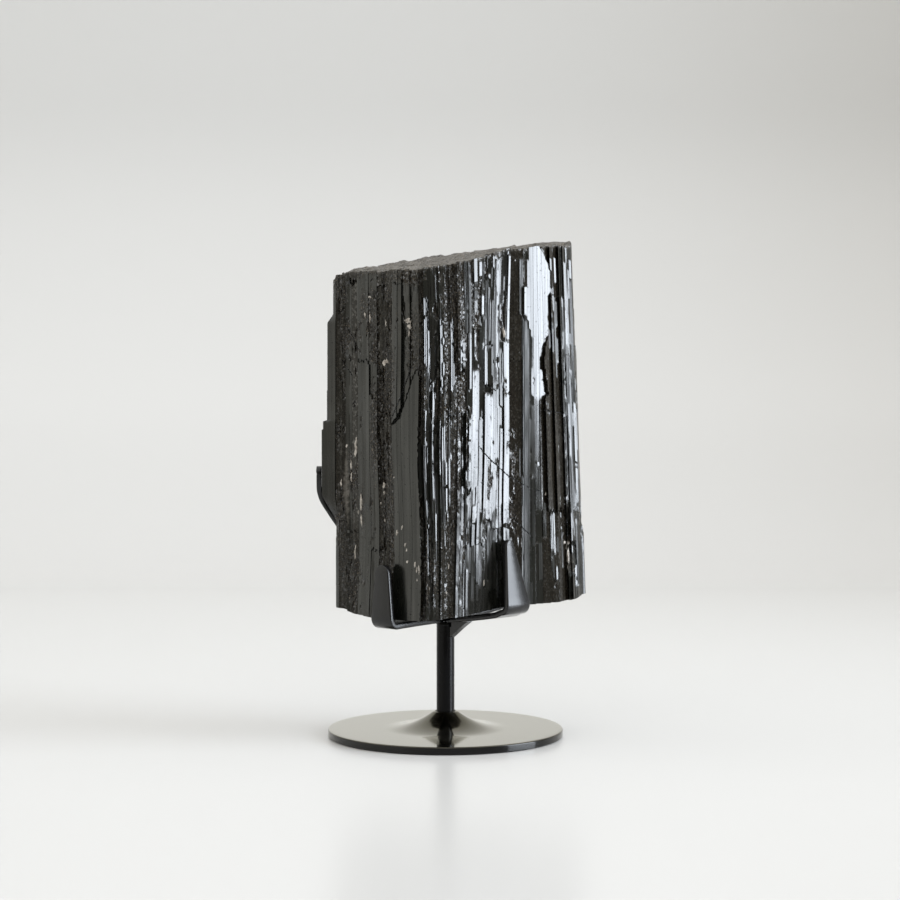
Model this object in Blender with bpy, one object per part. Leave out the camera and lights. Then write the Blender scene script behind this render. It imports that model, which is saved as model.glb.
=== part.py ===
"""Black tourmaline standing in a black metal display stand.

The stand is a turned base disc, a round post and four flat bars that are bent up
into prongs. The stone is one solid: its side is a closed row of upright ribs, each
a flat crystal face with its own facing, and ledges where layers have broken away.
All driving dimensions are in millimetres. Azimuth 0 faces -Y (the front) and grows
towards +X. The origin is the centre of the underside of the base disc.
"""

import math

import bmesh
import bpy
from mathutils import Vector, geometry

MM = 0.001

# ---------------------------------------------------------------- stand sizes
BASE_RADIUS = 65.0
BASE_THICKNESS = 4.0
BASE_EDGE_BEVEL = 0.8
FLARE_RADIUS = 35.0
FLARE_HEIGHT = 9.0
FLARE_POWER = 2.2
LIP_RADIUS = 6.9
LIP_ROUND = 0.7
FLARE_STATIONS = (35.0, 28.0, 21.5, 15.8, 11.3, 8.6)
SOCKET_RADIUS = 5.35
SOCKET_FLOOR = 4.0
BASE_SEGMENTS = 56

POST_RADIUS = 5.0
POST_TOP = 62.7
POST_FLANGE_RADIUS = 5.7
POST_FLANGE_HEIGHT = 2.2
POST_SEGMENTS = 28
FIT_GAP = 0.3

# The gusset under the right arm: a web whose lower edge slants from post to arm.
# Its lower edge is given by radius and height; the last radius is its reach.
GUSSET_LOWER_EDGE = ((5.3, 54.4), (7.0, 55.6), (9.5, 57.5), (12.7, 59.9), (18.3, 63.6))
GUSSET_NOTCH = 0.4
GUSSET_THICKNESS = 4.0

# The four bars. Their inner ends are mitred to points that meet over the post.
ARM_UNDERSIDE = 63.0
ARM_CURVE = 1.6
BAR_THICKNESS = 3.2
BAR_EDGE = 0.7
BAR_BEND = 4.2
BEND_RUN_IN = 4.0
MITRE_SLOPE = 0.88
MITRE_START = 1.2
MITRE_GAP = 0.35
TIP_STEPS = 4
TIP_SWEEP = 0.93
TIP_LEAN = 0.1

# Azimuth, reach of the upright's middle line, rise of the arm, widths, tip, lean.
BENT_PRONGS = {
    "front_left_prong": (-42.0, 49.8, -0.9, (12.0, 15.0, 10.0), 96.5, -0.3),
    "front_right_prong": (46.0, 53.2, 6.6, (12.0, 18.0, 6.2), 109.5, -6.4),
    "back_right_prong": (138.0, 58.5, 6.4, (12.0, 12.0, 9.0), 128.0, 0.5),
}

# The back left bar runs out under the stone, climbs its back and hooks round the
# crystals on its left side. Each entry: x, y, z, facing, width.
BACK_LEFT_ROUTE = (
    (-34.5, 36.0, 64.8, -136.0, 11.0),
    (-40.0, 41.8, 67.4, -136.0, 11.0),
    (-43.0, 44.8, 74.0, -136.0, 11.0),
    (-46.0, 44.5, 88.0, -136.0, 10.4),
    (-51.5, 41.5, 101.5, -132.0, 9.8),
    (-58.0, 36.5, 113.0, -122.0, 9.2),
    (-64.6, 29.5, 122.5, -110.0, 8.6),
    (-69.4, 22.5, 130.5, -100.0, 8.0),
    (-71.0, 17.0, 138.0, -95.0, 7.6),
    (-71.0, 15.0, 145.0, -93.0, 7.2),
)

# ---------------------------------------------------------------- stone sizes
ROWS = 16
GROOVE_HALF_WIDTH = 0.22
LEDGE_SPAN = 0.8
TURN_SPAN = 8.0
STEEPEST_FACING = 62.0
TOP_LEVEL = 263.2
TOP_SLOPE_X = 0.137
TOP_SLOPE_Y = 0.178
FAN_START_X = 43.0
FAN_WIDTH = 12.0
FAN_LEAN = 0.033
FAN_TOP = 272.0
TUCK = 1.7
TUCK_START_X = -49.0
TUCK_WIDTH = 10.0
TUCK_TOP = 133.0
TUCK_SPAN = 14.0
PRONG_CLEARANCE = 1.2
PRONG_MARGIN = 2.5
PRONG_FEATHER = 2.5
PRONG_PRESS = 0.86
BEND_CLEARANCE = 1.0
TIP_CLEARANCE = 1.5
LEFT_BLEND = 1.3

# The two broken ends: a net of points, low steps across the upper one, shallow waves.
OUTER_REACH = 90.0
TOP_SPACING = 7.0
BOTTOM_SPACING = 11.0
NET_WOBBLE = 0.28
NET_ROW = 0.87
TOP_DROP = 0.5
TOP_STEP = 0.7
STEP_RUN_X = 0.19
STEP_RUN_Y = 0.11
STEP_SHARPNESS = 4.0
TOP_WAVE = 0.5
BOTTOM_RISE = 0.35
BOTTOM_WAVE = 0.3

# Height of the stone's lower rim along X.
BOTTOM_RIM = (
    (-70.0, 72.0), (-57.0, 70.9), (-49.0, 68.8), (-40.0, 67.4), (-8.0, 67.2),
    (13.0, 69.5), (34.0, 73.7), (46.0, 73.8), (54.0, 74.0), (63.0, 74.9),
    (67.0, 76.0), (70.0, 77.4),
)

# Outline of the four sides: distance from the middle against the place along the side.
FRONT_OUTLINE = (
    (-61.5, 13.0), (-50.0, 20.0), (-38.0, 28.0), (-31.0, 32.5), (-25.0, 35.0),
    (-12.0, 40.0), (0.0, 43.5), (8.0, 42.5), (16.0, 38.0), (30.0, 29.5),
    (42.0, 22.0), (55.0, 13.0), (66.0, 3.0), (70.0, -2.4),
)
RIGHT_OUTLINE = ((4.0, 70.0), (12.0, 70.6), (22.0, 69.0), (29.0, 66.6))
BACK_OUTLINE = (
    (-64.5, 33.0), (-52.0, 37.5), (-30.0, 42.0), (-8.0, 43.5), (14.0, 41.0),
    (34.0, 36.0), (51.0, 27.0),
)
LEFT_OUTLINE = ((-22.0, 56.0), (-12.0, 59.6), (0.0, 60.5), (11.5, 60.6))

# The left side of the stone carries shorter crystals, so it steps out on the way down
# and turns in again below them. Each entry: height, step outwards, height it takes.
LEFT_BULGE = ((229.6, 3.2, 4.5), (173.8, 2.2, 0.8), (169.0, 0.8, 0.8), (126.0, -6.2, 14.0))


class Rib:
    """One upright crystal face: where it ends, which way it faces, how proud it is."""

    def __init__(self, end, facing, proud=0.0, groove=0.5, ledges=(), turn=None, top=0.0):
        self.end = end
        self.facing = facing
        self.proud = proud
        self.groove = groove
        self.ledges = tuple(full_ledge(ledge) for ledge in ledges)
        self.turn = turn
        self.top = top
        self.start = end


def full_ledge(ledge):
    """A ledge is height, step outwards, height it takes, and rise along the side."""
    defaults = (0.0, 0.0, LEDGE_SPAN, 0.0)
    return tuple(ledge) + defaults[len(ledge):]


FRONT_START = -61.5
FRONT_RIBS = (
    Rib(-59.9, -40, 0.0, 0.3, top=-3.5),
    Rib(-54.3, -22, -0.9, 0.7, ((234.0, -0.7), (166.0, 1.4), (119.0, -1.0))),
    Rib(-47.5, -12, 0.9, 0.4, ((249.0, -1.6, 2.0), (213.0, 0.8, 3.0), (113.0, 1.2)), top=1.0),
    Rib(-41.3, -30, 0.6, 0.8, ((206.0, 0.9), (128.0, -0.7, 3.0))),
    Rib(-36.9, -24, -0.3, 1.6, ((186.3, 1.1), (104.0, -1.0))),
    Rib(-32.6, -12, -1.5, 0.3, ((246.0, -1.0), (206.0, -0.6, 4.0), (140.0, 1.6)), top=-1.5),
    Rib(-28.6, -20, -0.9, 0.3, ((215.0, -1.0, 3.0), (150.0, 1.0, 2.0)), top=-0.5),
    Rib(-23.2, -38, 0.9, 0.4, ((246.0, 0.8), (141.8, -0.9))),
    Rib(-18.4, -30, -0.9, 0.9, ((238.0, -0.8, 5.0), (181.0, 1.7, 1.2, 2.8))),
    Rib(-13.5, -30, -0.8, 0.2, ((244.0, -0.9, 5.0), (195.0, 1.6, 1.2, 2.8)), top=-1.2),
    Rib(-10.8, 4, -0.7, 0.4, ((212.0, -0.6),), top=-0.8),
    Rib(-7.0, -6, 0.4, 0.6, ((229.0, 0.6), (168.0, -0.7), (120.0, 0.6))),
    Rib(-2.8, 12, -0.3, 0.5, ((218.0, -0.6), (150.0, 0.9))),
    Rib(0.9, -8, 0.9, 0.4, ((224.0, 0.5), (138.0, -0.8))),
    Rib(2.5, 6, -2.6, 0.0, ((222.0, 1.6, 6.0), (195.0, -1.5, 4.0), (174.0, 1.5, 4.0))),
    Rib(6.2, 14, 0.1, 0.4, ((160.0, -0.6),)),
    Rib(10.5, 26, 1.5, 0.4, ((200.0, -1.7), (142.0, 0.6)), top=1.2),
    Rib(13.7, 22, 0.0, 0.4, ((177.5, 1.2, 3.0), (136.5, -1.1)), turn=(178.0, 38)),
    Rib(17.4, 18, 0.3, 0.3, ((222.0, -0.5), (118.0, -0.9)), turn=(200.0, 37)),
    Rib(20.6, 25, -0.8, 0.5, ((176.0, 0.8, 6.0), (108.0, -0.8))),
    Rib(25.5, 12, -0.4, 0.4, ((213.5, 0.9), (192.0, -1.5), (188.0, 1.6), (120.0, -1.2)),
        turn=(186.0, 38), top=1.4),
    Rib(29.3, 37, 0.4, 0.5, ((206.0, -0.5), (115.0, -0.9))),
    Rib(31.8, 24, -0.5, 0.3, ((170.0, 0.5),)),
    Rib(34.8, 38, 0.4, 0.3, ((117.0, 0.8),)),
    Rib(42.0, 18, -1.3, 0.4, ((206.0, -0.6), (128.0, 0.8)), top=-0.8),
    Rib(48.7, 38, 0.9, 0.9, ((226.0, -0.6), (144.0, -0.7, 2.0)), turn=(216.0, 27), top=0.6),
    Rib(52.1, 38, 0.8, 0.2, ((186.0, -0.6), (150.0, 0.5)), top=0.8),
    Rib(56.7, 52, 0.2, 0.3, ((243.0, -0.7), (124.6, -1.8)), turn=(243.5, 52), top=0.7),
    Rib(61.8, 54, -0.2, 0.3, ((242.6, -0.8), (178.0, 0.5), (124.2, -1.6)), top=0.4),
    Rib(64.2, 48, 0.5, 0.6, ((177.0, -0.6), (124.0, -1.2), (98.0, 1.0))),
    Rib(66.9, 42, 0.3, 0.4, ((210.0, 0.5), (107.0, -1.2), (88.0, 1.3)), top=-1.2),
    Rib(69.7, 50, 0.1, 0.4, ((196.0, 0.6), (123.0, -0.8)), top=-2.6),
)
RIGHT_START = 4.4
RIGHT_RIBS = (
    Rib(8.5, 76, 0.2, 0.4, ((214.0, 0.6), (116.0, 0.9)), top=-2.0),
    Rib(12.0, 98, -0.8, 0.6, ((188.0, -0.7), (132.0, 1.0))),
    Rib(18.5, 84, 0.6, 0.5, ((236.0, 0.6), (150.0, -1.4), (96.0, 1.2)), top=-1.2),
    Rib(22.5, 104, -0.6, 0.7, ((204.0, 1.1, 3.0), (118.0, -0.7)), top=-1.8),
    Rib(27.5, 112, 0.6, 0.4, ((222.0, -1.2), (140.0, 0.9)), top=-2.6),
)
BACK_START = -64.0
BACK_RIBS = (
    Rib(-58.0, 146, 0.4, 0.6, ((216.0, 0.7), (128.0, -1.0)), top=-1.0),
    Rib(-53.5, 162, -0.8, 0.7, ((236.0, -0.8), (172.0, 1.3))),
    Rib(-44.0, 168, 1.0, 0.6, ((240.0, 0.7), (190.0, -1.4), (112.0, 1.1)), top=-0.7),
    Rib(-39.5, 178, -1.4, 0.8, ((208.0, 0.8), (146.0, -0.8)), top=-1.6),
    Rib(-31.0, 164, 0.7, 0.5, ((228.0, 0.9), (158.0, -1.2, 3.0)), top=0.8),
    Rib(-26.5, 184, -0.5, 0.7, ((184.0, -0.9), (120.0, 1.2))),
    Rib(-16.0, 174, 1.3, 0.6, ((244.0, 0.6), (166.0, -1.6), (104.0, 0.8)), top=1.1),
    Rib(-11.5, 168, -1.1, 0.9, ((220.0, 1.0), (136.0, -0.9)), top=-1.0),
    Rib(-4.0, 186, 0.5, 0.4, ((198.0, 0.8, 2.0), (126.0, -0.8))),
    Rib(1.5, 176, -1.6, 0.8, ((230.0, -0.8), (178.0, 1.9), (118.0, -0.9)), top=-1.8),
    Rib(11.0, 190, 0.9, 0.7, ((212.0, -1.3), (150.0, 1.1)), top=0.5),
    Rib(16.0, 182, -0.7, 0.6, ((234.0, 0.7), (162.0, -0.8))),
    Rib(24.5, 196, 0.8, 0.6, ((204.0, 1.0), (140.0, -1.5, 3.0)), top=-0.9),
    Rib(29.5, 204, -0.9, 0.8, ((224.0, -0.9), (170.0, 1.2)), top=0.6),
    Rib(39.0, 198, 0.7, 0.5, ((236.0, 0.8), (182.0, -1.1), (114.0, 0.6))),
    Rib(44.5, 214, -0.8, 0.7, ((210.0, 0.9), (148.0, -0.8)), top=-1.1),
    Rib(51.0, 212, 0.5, 0.5, ((226.0, -0.8), (166.0, 1.1), (120.0, -1.4, 4.0))),
)
LEFT_START = -21.5
LEFT_RIBS = (
    Rib(-16.5, 246, 0.3, 0.5, ((206.0, 0.6),), top=-1.6),
    Rib(-12.5, 262, -0.8, 0.7, ((218.0, -0.6), (152.0, 0.9)), top=-3.0),
    Rib(-5.5, 256, 0.7, 0.5, ((196.0, -1.0),), top=-4.0),
    Rib(-2.0, 276, -0.7, 0.7, ((184.0, 0.9), (104.0, -0.6)), top=-6.0),
    Rib(5.5, 268, 0.6, 0.5, ((212.0, 0.6), (144.0, -0.9)), top=-5.0),
    Rib(11.5, 290, 0.0, 0.4, ((190.0, 0.5),), top=-4.5),
)

# A side of the stone: its ribs, the way they run, the way they face, its outline.
SIDES = (
    (FRONT_START, FRONT_RIBS, (1, 0), (0, -1), FRONT_OUTLINE, 0.0),
    (RIGHT_START, RIGHT_RIBS, (0, 1), (1, 0), RIGHT_OUTLINE, 90.0),
    (BACK_START, BACK_RIBS, (-1, 0), (0, 1), BACK_OUTLINE, 180.0),
    (LEFT_START, LEFT_RIBS, (0, -1), (-1, 0), LEFT_OUTLINE, 270.0),
)


# ---------------------------------------------------------------- small helpers
def clamp(value, low=0.0, high=1.0):
    return max(low, min(high, value))


def smooth(value):
    value = clamp(value)
    return value * value * (3.0 - 2.0 * value)


def along(points, place):
    """Read a value from a short list of (place, value) pairs."""
    for (x0, y0), (x1, y1) in zip(points, points[1:]):
        if place <= x1:
            return y0 + (y1 - y0) * clamp((place - x0) / (x1 - x0))
    return points[-1][1]


def outward(azimuth):
    angle = math.radians(azimuth)
    return Vector((math.sin(angle), -math.cos(angle), 0.0))


def paint(name, colour, roughness, metallic=0.0):
    material = bpy.data.materials.new(name)
    material.use_nodes = True
    shader = material.node_tree.nodes["Principled BSDF"]
    shader.inputs["Base Color"].default_value = (*colour, 1.0)
    shader.inputs["Roughness"].default_value = roughness
    shader.inputs["Metallic"].default_value = metallic
    return material


def finish_object(name, mesh_builder, material, sharp_angle=None):
    """Turn a bmesh in millimetres into a named object with a material."""
    mesh_builder.normal_update()
    bmesh.ops.recalc_face_normals(mesh_builder, faces=mesh_builder.faces)
    for vertex in mesh_builder.verts:
        vertex.co *= MM
    mesh = bpy.data.meshes.new(name)
    mesh_builder.to_mesh(mesh)
    mesh_builder.free()
    if sharp_angle is not None:
        mesh.shade_smooth()
        mesh.set_sharp_from_angle(angle=math.radians(sharp_angle))
    mesh.materials.append(material)
    item = bpy.data.objects.new(name, mesh)
    bpy.context.scene.collection.objects.link(item)
    return item


def turned(name, profile, segments, material):
    """Turn a closed profile of (radius, height) about Z; radius 0 points are poles."""
    builder = bmesh.new()
    rings = []
    for radius, height in profile:
        if radius == 0.0:
            rings.append([builder.verts.new((0.0, 0.0, height))])
            continue
        ring = []
        for step in range(segments):
            angle = 2.0 * math.pi * step / segments
            ring.append(builder.verts.new((radius * math.cos(angle), radius * math.sin(angle), height)))
        rings.append(ring)
    for lower, upper in zip(rings, rings[1:]):
        for step in range(segments):
            following = (step + 1) % segments
            if len(lower) == 1:
                builder.faces.new((lower[0], upper[step], upper[following]))
            elif len(upper) == 1:
                builder.faces.new((lower[step], upper[0], lower[following]))
            else:
                builder.faces.new((lower[step], upper[step], upper[following], lower[following]))
    return finish_object(name, builder, material, 35.0)


# ---------------------------------------------------------------- the stand
def flare(radius):
    """Height of the base's top face: a trumpet that rises to the post."""
    rise = clamp((FLARE_RADIUS - radius) / (FLARE_RADIUS - LIP_RADIUS))
    return BASE_THICKNESS + FLARE_HEIGHT * rise ** FLARE_POWER


def make_base(material):
    profile = [(0.0, 0.0), (BASE_RADIUS, 0.0), (BASE_RADIUS, BASE_THICKNESS - BASE_EDGE_BEVEL)]
    profile.append((BASE_RADIUS - BASE_EDGE_BEVEL, BASE_THICKNESS))
    profile += [(radius, flare(radius)) for radius in FLARE_STATIONS]
    lip = flare(LIP_RADIUS)
    profile.append((LIP_RADIUS, lip))
    profile.append((LIP_RADIUS - LIP_ROUND, lip + LIP_ROUND * 0.3))
    profile.append((SOCKET_RADIUS, lip - LIP_ROUND))
    profile += [(SOCKET_RADIUS, SOCKET_FLOOR), (0.0, SOCKET_FLOOR)]
    return turned("base_disc", profile, BASE_SEGMENTS, material)


def make_post(material):
    foot = SOCKET_FLOOR + FIT_GAP
    profile = [
        (0.0, foot),
        (POST_RADIUS, foot),
        (POST_RADIUS, POST_TOP - POST_FLANGE_HEIGHT),
        (POST_FLANGE_RADIUS, POST_TOP - POST_FLANGE_HEIGHT / 3.0),
        (POST_FLANGE_RADIUS, POST_TOP),
        (0.0, POST_TOP),
    ]
    return turned("post", profile, POST_SEGMENTS, material)


def bar_section(centre, side, normal, width, thickness):
    """Eight points of a flat bar's section with its edges broken."""
    half_width = width / 2.0
    half_thick = thickness / 2.0
    edge = min(BAR_EDGE, half_width * 0.6)
    corners = (
        (half_width, half_thick - edge), (half_width - edge, half_thick),
        (edge - half_width, half_thick), (-half_width, half_thick - edge),
        (-half_width, edge - half_thick), (edge - half_width, -half_thick),
        (half_width - edge, -half_thick), (half_width, edge - half_thick),
    )
    return [centre + side * across + normal * through for across, through in corners]


def bar(name, stations, material):
    """Skin a bar through stations of (centre, side, normal, width)."""
    builder = bmesh.new()
    rings = []
    for centre, side, normal, width in stations:
        points = bar_section(centre, side, normal, width, BAR_THICKNESS)
        rings.append([builder.verts.new(point) for point in points])
    for lower, upper in zip(rings, rings[1:]):
        count = len(lower)
        for step in range(count):
            following = (step + 1) % count
            builder.faces.new((lower[step], lower[following], upper[following], upper[step]))
    builder.faces.new(rings[0])
    builder.faces.new(tuple(reversed(rings[-1])))
    return finish_object(name, builder, material, 40.0)


def path_frames(points, facings):
    """Side and outward normal at each point of a bar's middle line."""
    frames = []
    for index, point in enumerate(points):
        before = points[max(index - 1, 0)]
        after = points[min(index + 1, len(points) - 1)]
        tangent = (after - before).normalized()
        radial = outward(facings[index])
        side = Vector((0.0, 0.0, 1.0)).cross(radial)
        side = (side - tangent * side.dot(tangent)).normalized()
        normal = side.cross(tangent).normalized()
        frames.append((point, side, normal))
    return frames


def mitre(arm_width):
    """Radius and width of a bar where its mitred end starts and where it is full."""
    start_width = 2.0 * (MITRE_START * MITRE_SLOPE - MITRE_GAP)
    return (MITRE_START, start_width), ((arm_width / 2.0 + MITRE_GAP) / MITRE_SLOPE, arm_width)


def arm_climb(radius, reach, rise):
    """How far an arm has climbed at a radius: little by the post, more further out."""
    return rise * (radius / reach) ** ARM_CURVE


def tip_widths(last_width):
    """Widths that round a bar's end off, and how far along each one lies."""
    steps = []
    for step in range(1, TIP_STEPS + 1):
        angle = math.pi / 2.0 * step / TIP_STEPS * TIP_SWEEP
        steps.append((last_width / 2.0 * math.sin(angle), last_width * math.cos(angle)))
    return steps


def bent_prong(name, material, azimuth, reach, rise, widths, tip, lean):
    """A bar that runs out from the post, bends up at its reach and ends in a round tip.

    widths are the bar's width by the post, at the bend and below the tip; rise is how
    much the arm climbs on its way out, and lean how far the upright leans outwards.
    """
    arm_width, bend_width, tip_width = widths
    direction = outward(azimuth)
    floor = ARM_UNDERSIDE + BAR_THICKNESS / 2.0
    run_in = reach - BAR_BEND - BEND_RUN_IN
    rows = mitre(arm_width) + ((run_in, bend_width),)
    plan = [(radius, floor + arm_climb(radius, reach, rise), width) for radius, width in rows]
    for step in range(5):
        angle = math.pi / 2.0 * step / 4.0
        radius = reach - BAR_BEND + BAR_BEND * math.sin(angle)
        height = floor + rise + BAR_BEND * (1.0 - math.cos(angle))
        plan.append((radius, height, bend_width))
    low = floor + rise + BAR_BEND
    high = tip - tip_width / 2.0
    for step in range(1, 4):
        share = step / 3.0
        width = bend_width + (tip_width - bend_width) * share
        plan.append((reach + lean * share, low + (high - low) * share, width))
    for climb, width in tip_widths(tip_width):
        plan.append((reach + lean, high + climb, width))
    points = [direction * radius + Vector((0.0, 0.0, height)) for radius, height, _ in plan]
    frames = path_frames(points, [azimuth] * len(points))
    stations = [(*frame, row[2]) for frame, row in zip(frames, plan)]
    return bar(name, stations, material)


def make_back_left_prong(material):
    first = BACK_LEFT_ROUTE[0]
    last = BACK_LEFT_ROUTE[-1]
    floor = ARM_UNDERSIDE + BAR_THICKNESS / 2.0
    rows = []
    for radius, width in mitre(first[4]):
        spot = outward(first[3]) * radius
        rows.append((spot.x, spot.y, floor, first[3], width))
    rows += BACK_LEFT_ROUTE
    for climb, width in tip_widths(last[4]):
        rows.append((last[0], last[1] - TIP_LEAN * climb, last[2] + climb, last[3], width))
    frames = path_frames([Vector(row[:3]) for row in rows], [row[3] for row in rows])
    stations = [(*frame, row[4]) for frame, row in zip(frames, rows)]
    return bar("back_left_prong", stations, material)


def make_gusset(material):
    """A small triangular web between the post and the underside of the right arm."""
    azimuth, reach, rise = BENT_PRONGS["front_right_prong"][:3]
    direction = outward(azimuth)
    side = Vector((0.0, 0.0, 1.0)).cross(direction) * (GUSSET_THICKNESS / 2.0)

    def below_arm(radius):
        return ARM_UNDERSIDE + arm_climb(radius, reach, rise) - FIT_GAP

    start = GUSSET_LOWER_EDGE[0][0]
    end = GUSSET_LOWER_EDGE[-1][0]
    notch = start + POST_FLANGE_RADIUS - POST_RADIUS + GUSSET_NOTCH
    shoulder = POST_TOP - POST_FLANGE_HEIGHT - GUSSET_NOTCH
    outline = GUSSET_LOWER_EDGE + (
        (end, below_arm(end)), (notch, below_arm(notch)), (notch, shoulder), (start, shoulder),
    )
    builder = bmesh.new()
    faces = []
    for way in (-1.0, 1.0):
        points = [direction * radius + Vector((0.0, 0.0, height)) for radius, height in outline]
        faces.append([builder.verts.new(point + side * way) for point in points])
    near, far = faces
    for step in range(len(outline)):
        following = (step + 1) % len(outline)
        builder.faces.new((near[step], near[following], far[following], far[step]))
    builder.faces.new(near)
    builder.faces.new(tuple(reversed(far)))
    return finish_object("arm_gusset", builder, material)


# ---------------------------------------------------------------- the stone
def side_ribs():
    """Each side's ribs, with where each starts."""
    sides = []
    for start, ribs, run, face, outline, azimuth in SIDES:
        for rib in ribs:
            rib.start = start
            start = rib.end
        sides.append((ribs, run, face, outline, azimuth))
    return sides


def stepped(ledges, height, offset=0.0):
    """How far ledges have moved a face outwards at a height."""
    moved = 0.0
    for level, change, span, slant in ledges:
        moved += change * clamp((level + slant * offset + span / 2.0 - height) / span)
    return moved


LEFT_LEDGES = tuple(full_ledge(ledge) for ledge in LEFT_BULGE)


def rib_depth(rib, place, height, outline, azimuth):
    """Distance of a rib's face from the middle, at a place along the side."""
    centre = (rib.start + rib.end) / 2.0
    offset = place - centre
    facing = rib.facing
    if rib.turn:
        facing += (rib.turn[1] - rib.facing) * smooth((rib.turn[0] - height) / TURN_SPAN + 0.5)
    slope = math.tan(math.radians(clamp(facing - azimuth, -STEEPEST_FACING, STEEPEST_FACING)))
    return along(outline, centre) + rib.proud + stepped(rib.ledges, height, offset) - offset * slope


def left_share(azimuth, place):
    """How much of the left side's swelling a line of points takes part in."""
    if azimuth == 270.0:
        return 1.0
    return clamp((FRONT_RIBS[0].end - place) / LEFT_BLEND) if azimuth == 0.0 else 0.0


def settle(point):
    """Fan the right side out, tuck the lower left in, and stay clear of the prongs."""
    x, y, z = point
    x += FAN_LEAN * (FAN_TOP - z) * smooth((x - FAN_START_X) / FAN_WIDTH)
    x += TUCK * smooth((TUCK_START_X - x) / TUCK_WIDTH) * smooth((TUCK_TOP - z) / TUCK_SPAN)
    for azimuth, reach, rise, widths, tip, lean in BENT_PRONGS.values():
        normal = outward(azimuth)
        bend_top = ARM_UNDERSIDE + BAR_THICKNESS + rise + BAR_BEND + BEND_CLEARANCE
        limit = reach - BAR_THICKNESS / 2.0 - PRONG_CLEARANCE
        limit += min(lean, 0.0) * clamp((z - bend_top) / (tip - widths[2] / 2.0 - bend_top))
        limit -= max(0.0, bend_top - z)
        across = abs(normal.x * y - normal.y * x) - max(widths) / 2.0 - PRONG_MARGIN
        beyond = normal.x * x + normal.y * y - limit - PRONG_FEATHER * max(0.0, across)
        if beyond > 0.0 and z < tip + TIP_CLEARANCE:
            x -= normal.x * beyond * PRONG_PRESS
            y -= normal.y * beyond * PRONG_PRESS
    return Vector((x, y, z))


def top_height(x, y):
    return TOP_LEVEL + TOP_SLOPE_X * x + TOP_SLOPE_Y * y


def row_heights(low, high, ledges, offset=0.0):
    """Heights of a column's points, with a pair of rows at each ledge."""
    rows = [low + (high - low) * step / (ROWS - 1) for step in range(ROWS)]
    taken = {0, ROWS - 1}
    for level, _, span, slant in sorted(ledges):
        level += slant * offset
        if not low + span < level < high - span:
            continue
        free = [n for n in range(1, ROWS - 2) if n not in taken and n + 1 not in taken]
        if not free:
            continue
        lower = min(free, key=lambda n: abs((rows[n] + rows[n + 1]) / 2.0 - level))
        rows[lower] = level - span / 2.0
        rows[lower + 1] = level + span / 2.0
        taken.update((lower, lower + 1))
    return sorted(rows)


def stone_columns():
    """Every upright line of points round the stone, from the lower rim to the upper."""
    columns = []
    for ribs, run, face, outline, azimuth in side_ribs():
        for index, rib in enumerate(ribs):
            before = ribs[index - 1] if index else None
            centre = (rib.start + rib.end) / 2.0
            swells = left_share(azimuth, rib.start) > 0.0
            ledges = rib.ledges + (LEFT_LEDGES if swells else ())
            places = [(rib.start, None)] if before else []
            places += [(rib.start + GROOVE_HALF_WIDTH, rib), (rib.end - GROOVE_HALF_WIDTH, rib)]
            for place, owner in places:
                flat = Vector((run[0] * place, run[1] * place))
                flat += Vector(face) * along(outline, place)
                low = along(BOTTOM_RIM, flat.x)
                high = top_height(flat.x, flat.y) + rib.top
                column = []
                for height in row_heights(low, high, ledges, place - centre):
                    if owner:
                        depth = rib_depth(owner, place, height, outline, azimuth)
                    else:
                        depth = min(
                            rib_depth(rib, place, height, outline, azimuth),
                            rib_depth(before, place, height, outline, azimuth),
                        ) - rib.groove
                    spot = Vector((run[0] * place, run[1] * place)) + Vector(face) * depth
                    swell = stepped(LEFT_LEDGES, height) * left_share(azimuth, place)
                    column.append(settle((spot.x - swell, spot.y, height)))
                columns.append(column)
    return columns


def cap(builder, ring, height_at, spacing):
    """Close one end with a net of triangles over points about a spacing apart."""
    rim = [Vector(vertex.co.xy) for vertex in ring]
    spots = list(rim)
    reach = int(OUTER_REACH / spacing)
    for row in range(-reach, reach + 1):
        for step in range(-reach, reach + 1):
            wobble = NET_WOBBLE * math.sin(12.9 * step + 78.2 * row)
            x = (step + 0.5 * (row % 2) + wobble) * spacing
            y = (row - wobble) * NET_ROW * spacing
            spots.append(Vector((x, y)))
    edges = [(step, (step + 1) % len(rim)) for step in range(len(rim))]
    net = geometry.delaunay_2d_cdt(spots, edges, [list(range(len(rim)))], 1, 1e-6)
    points, _, faces, sources = net[0], net[1], net[2], net[3]
    corners = []
    for point, source in zip(points, sources):
        on_rim = [number for number in source if number < len(rim)]
        if on_rim:
            corners.append(ring[on_rim[0]])
        else:
            corners.append(builder.verts.new((point.x, point.y, height_at(point.x, point.y))))
    for face in faces:
        builder.faces.new([corners[number] for number in face])
    for vertex in corners:
        if not vertex.link_faces:
            builder.verts.remove(vertex)


def broken_top(x, y):
    """The upper end: a sloping break in low steps that run across the stone."""
    across = STEP_RUN_X * x + STEP_RUN_Y * y
    step = math.floor(across) + smooth((across % 1.0) * STEP_SHARPNESS)
    wave = TOP_WAVE * math.sin(0.23 * y - 0.17 * x + 1.0)
    return top_height(x, y) - TOP_DROP + TOP_STEP * math.sin(2.4 * step) + wave


def broken_bottom(x, y):
    """The lower end: nearly flat where the arms pass below it."""
    return along(BOTTOM_RIM, x) + BOTTOM_RISE + BOTTOM_WAVE * math.sin(0.17 * x - 0.2 * y)


def make_stone(material):
    columns = stone_columns()
    builder = bmesh.new()
    grid = [[builder.verts.new(point) for point in column] for column in columns]
    for left, right in zip(grid, grid[1:] + grid[:1]):
        for row in range(ROWS - 1):
            builder.faces.new((left[row], right[row], right[row + 1], left[row + 1]))
    cap(builder, [column[-1] for column in grid], broken_top, TOP_SPACING)
    cap(builder, [column[0] for column in grid], broken_bottom, BOTTOM_SPACING)
    bmesh.ops.triangulate(builder, faces=builder.faces)
    return finish_object("tourmaline", builder, material)


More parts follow.
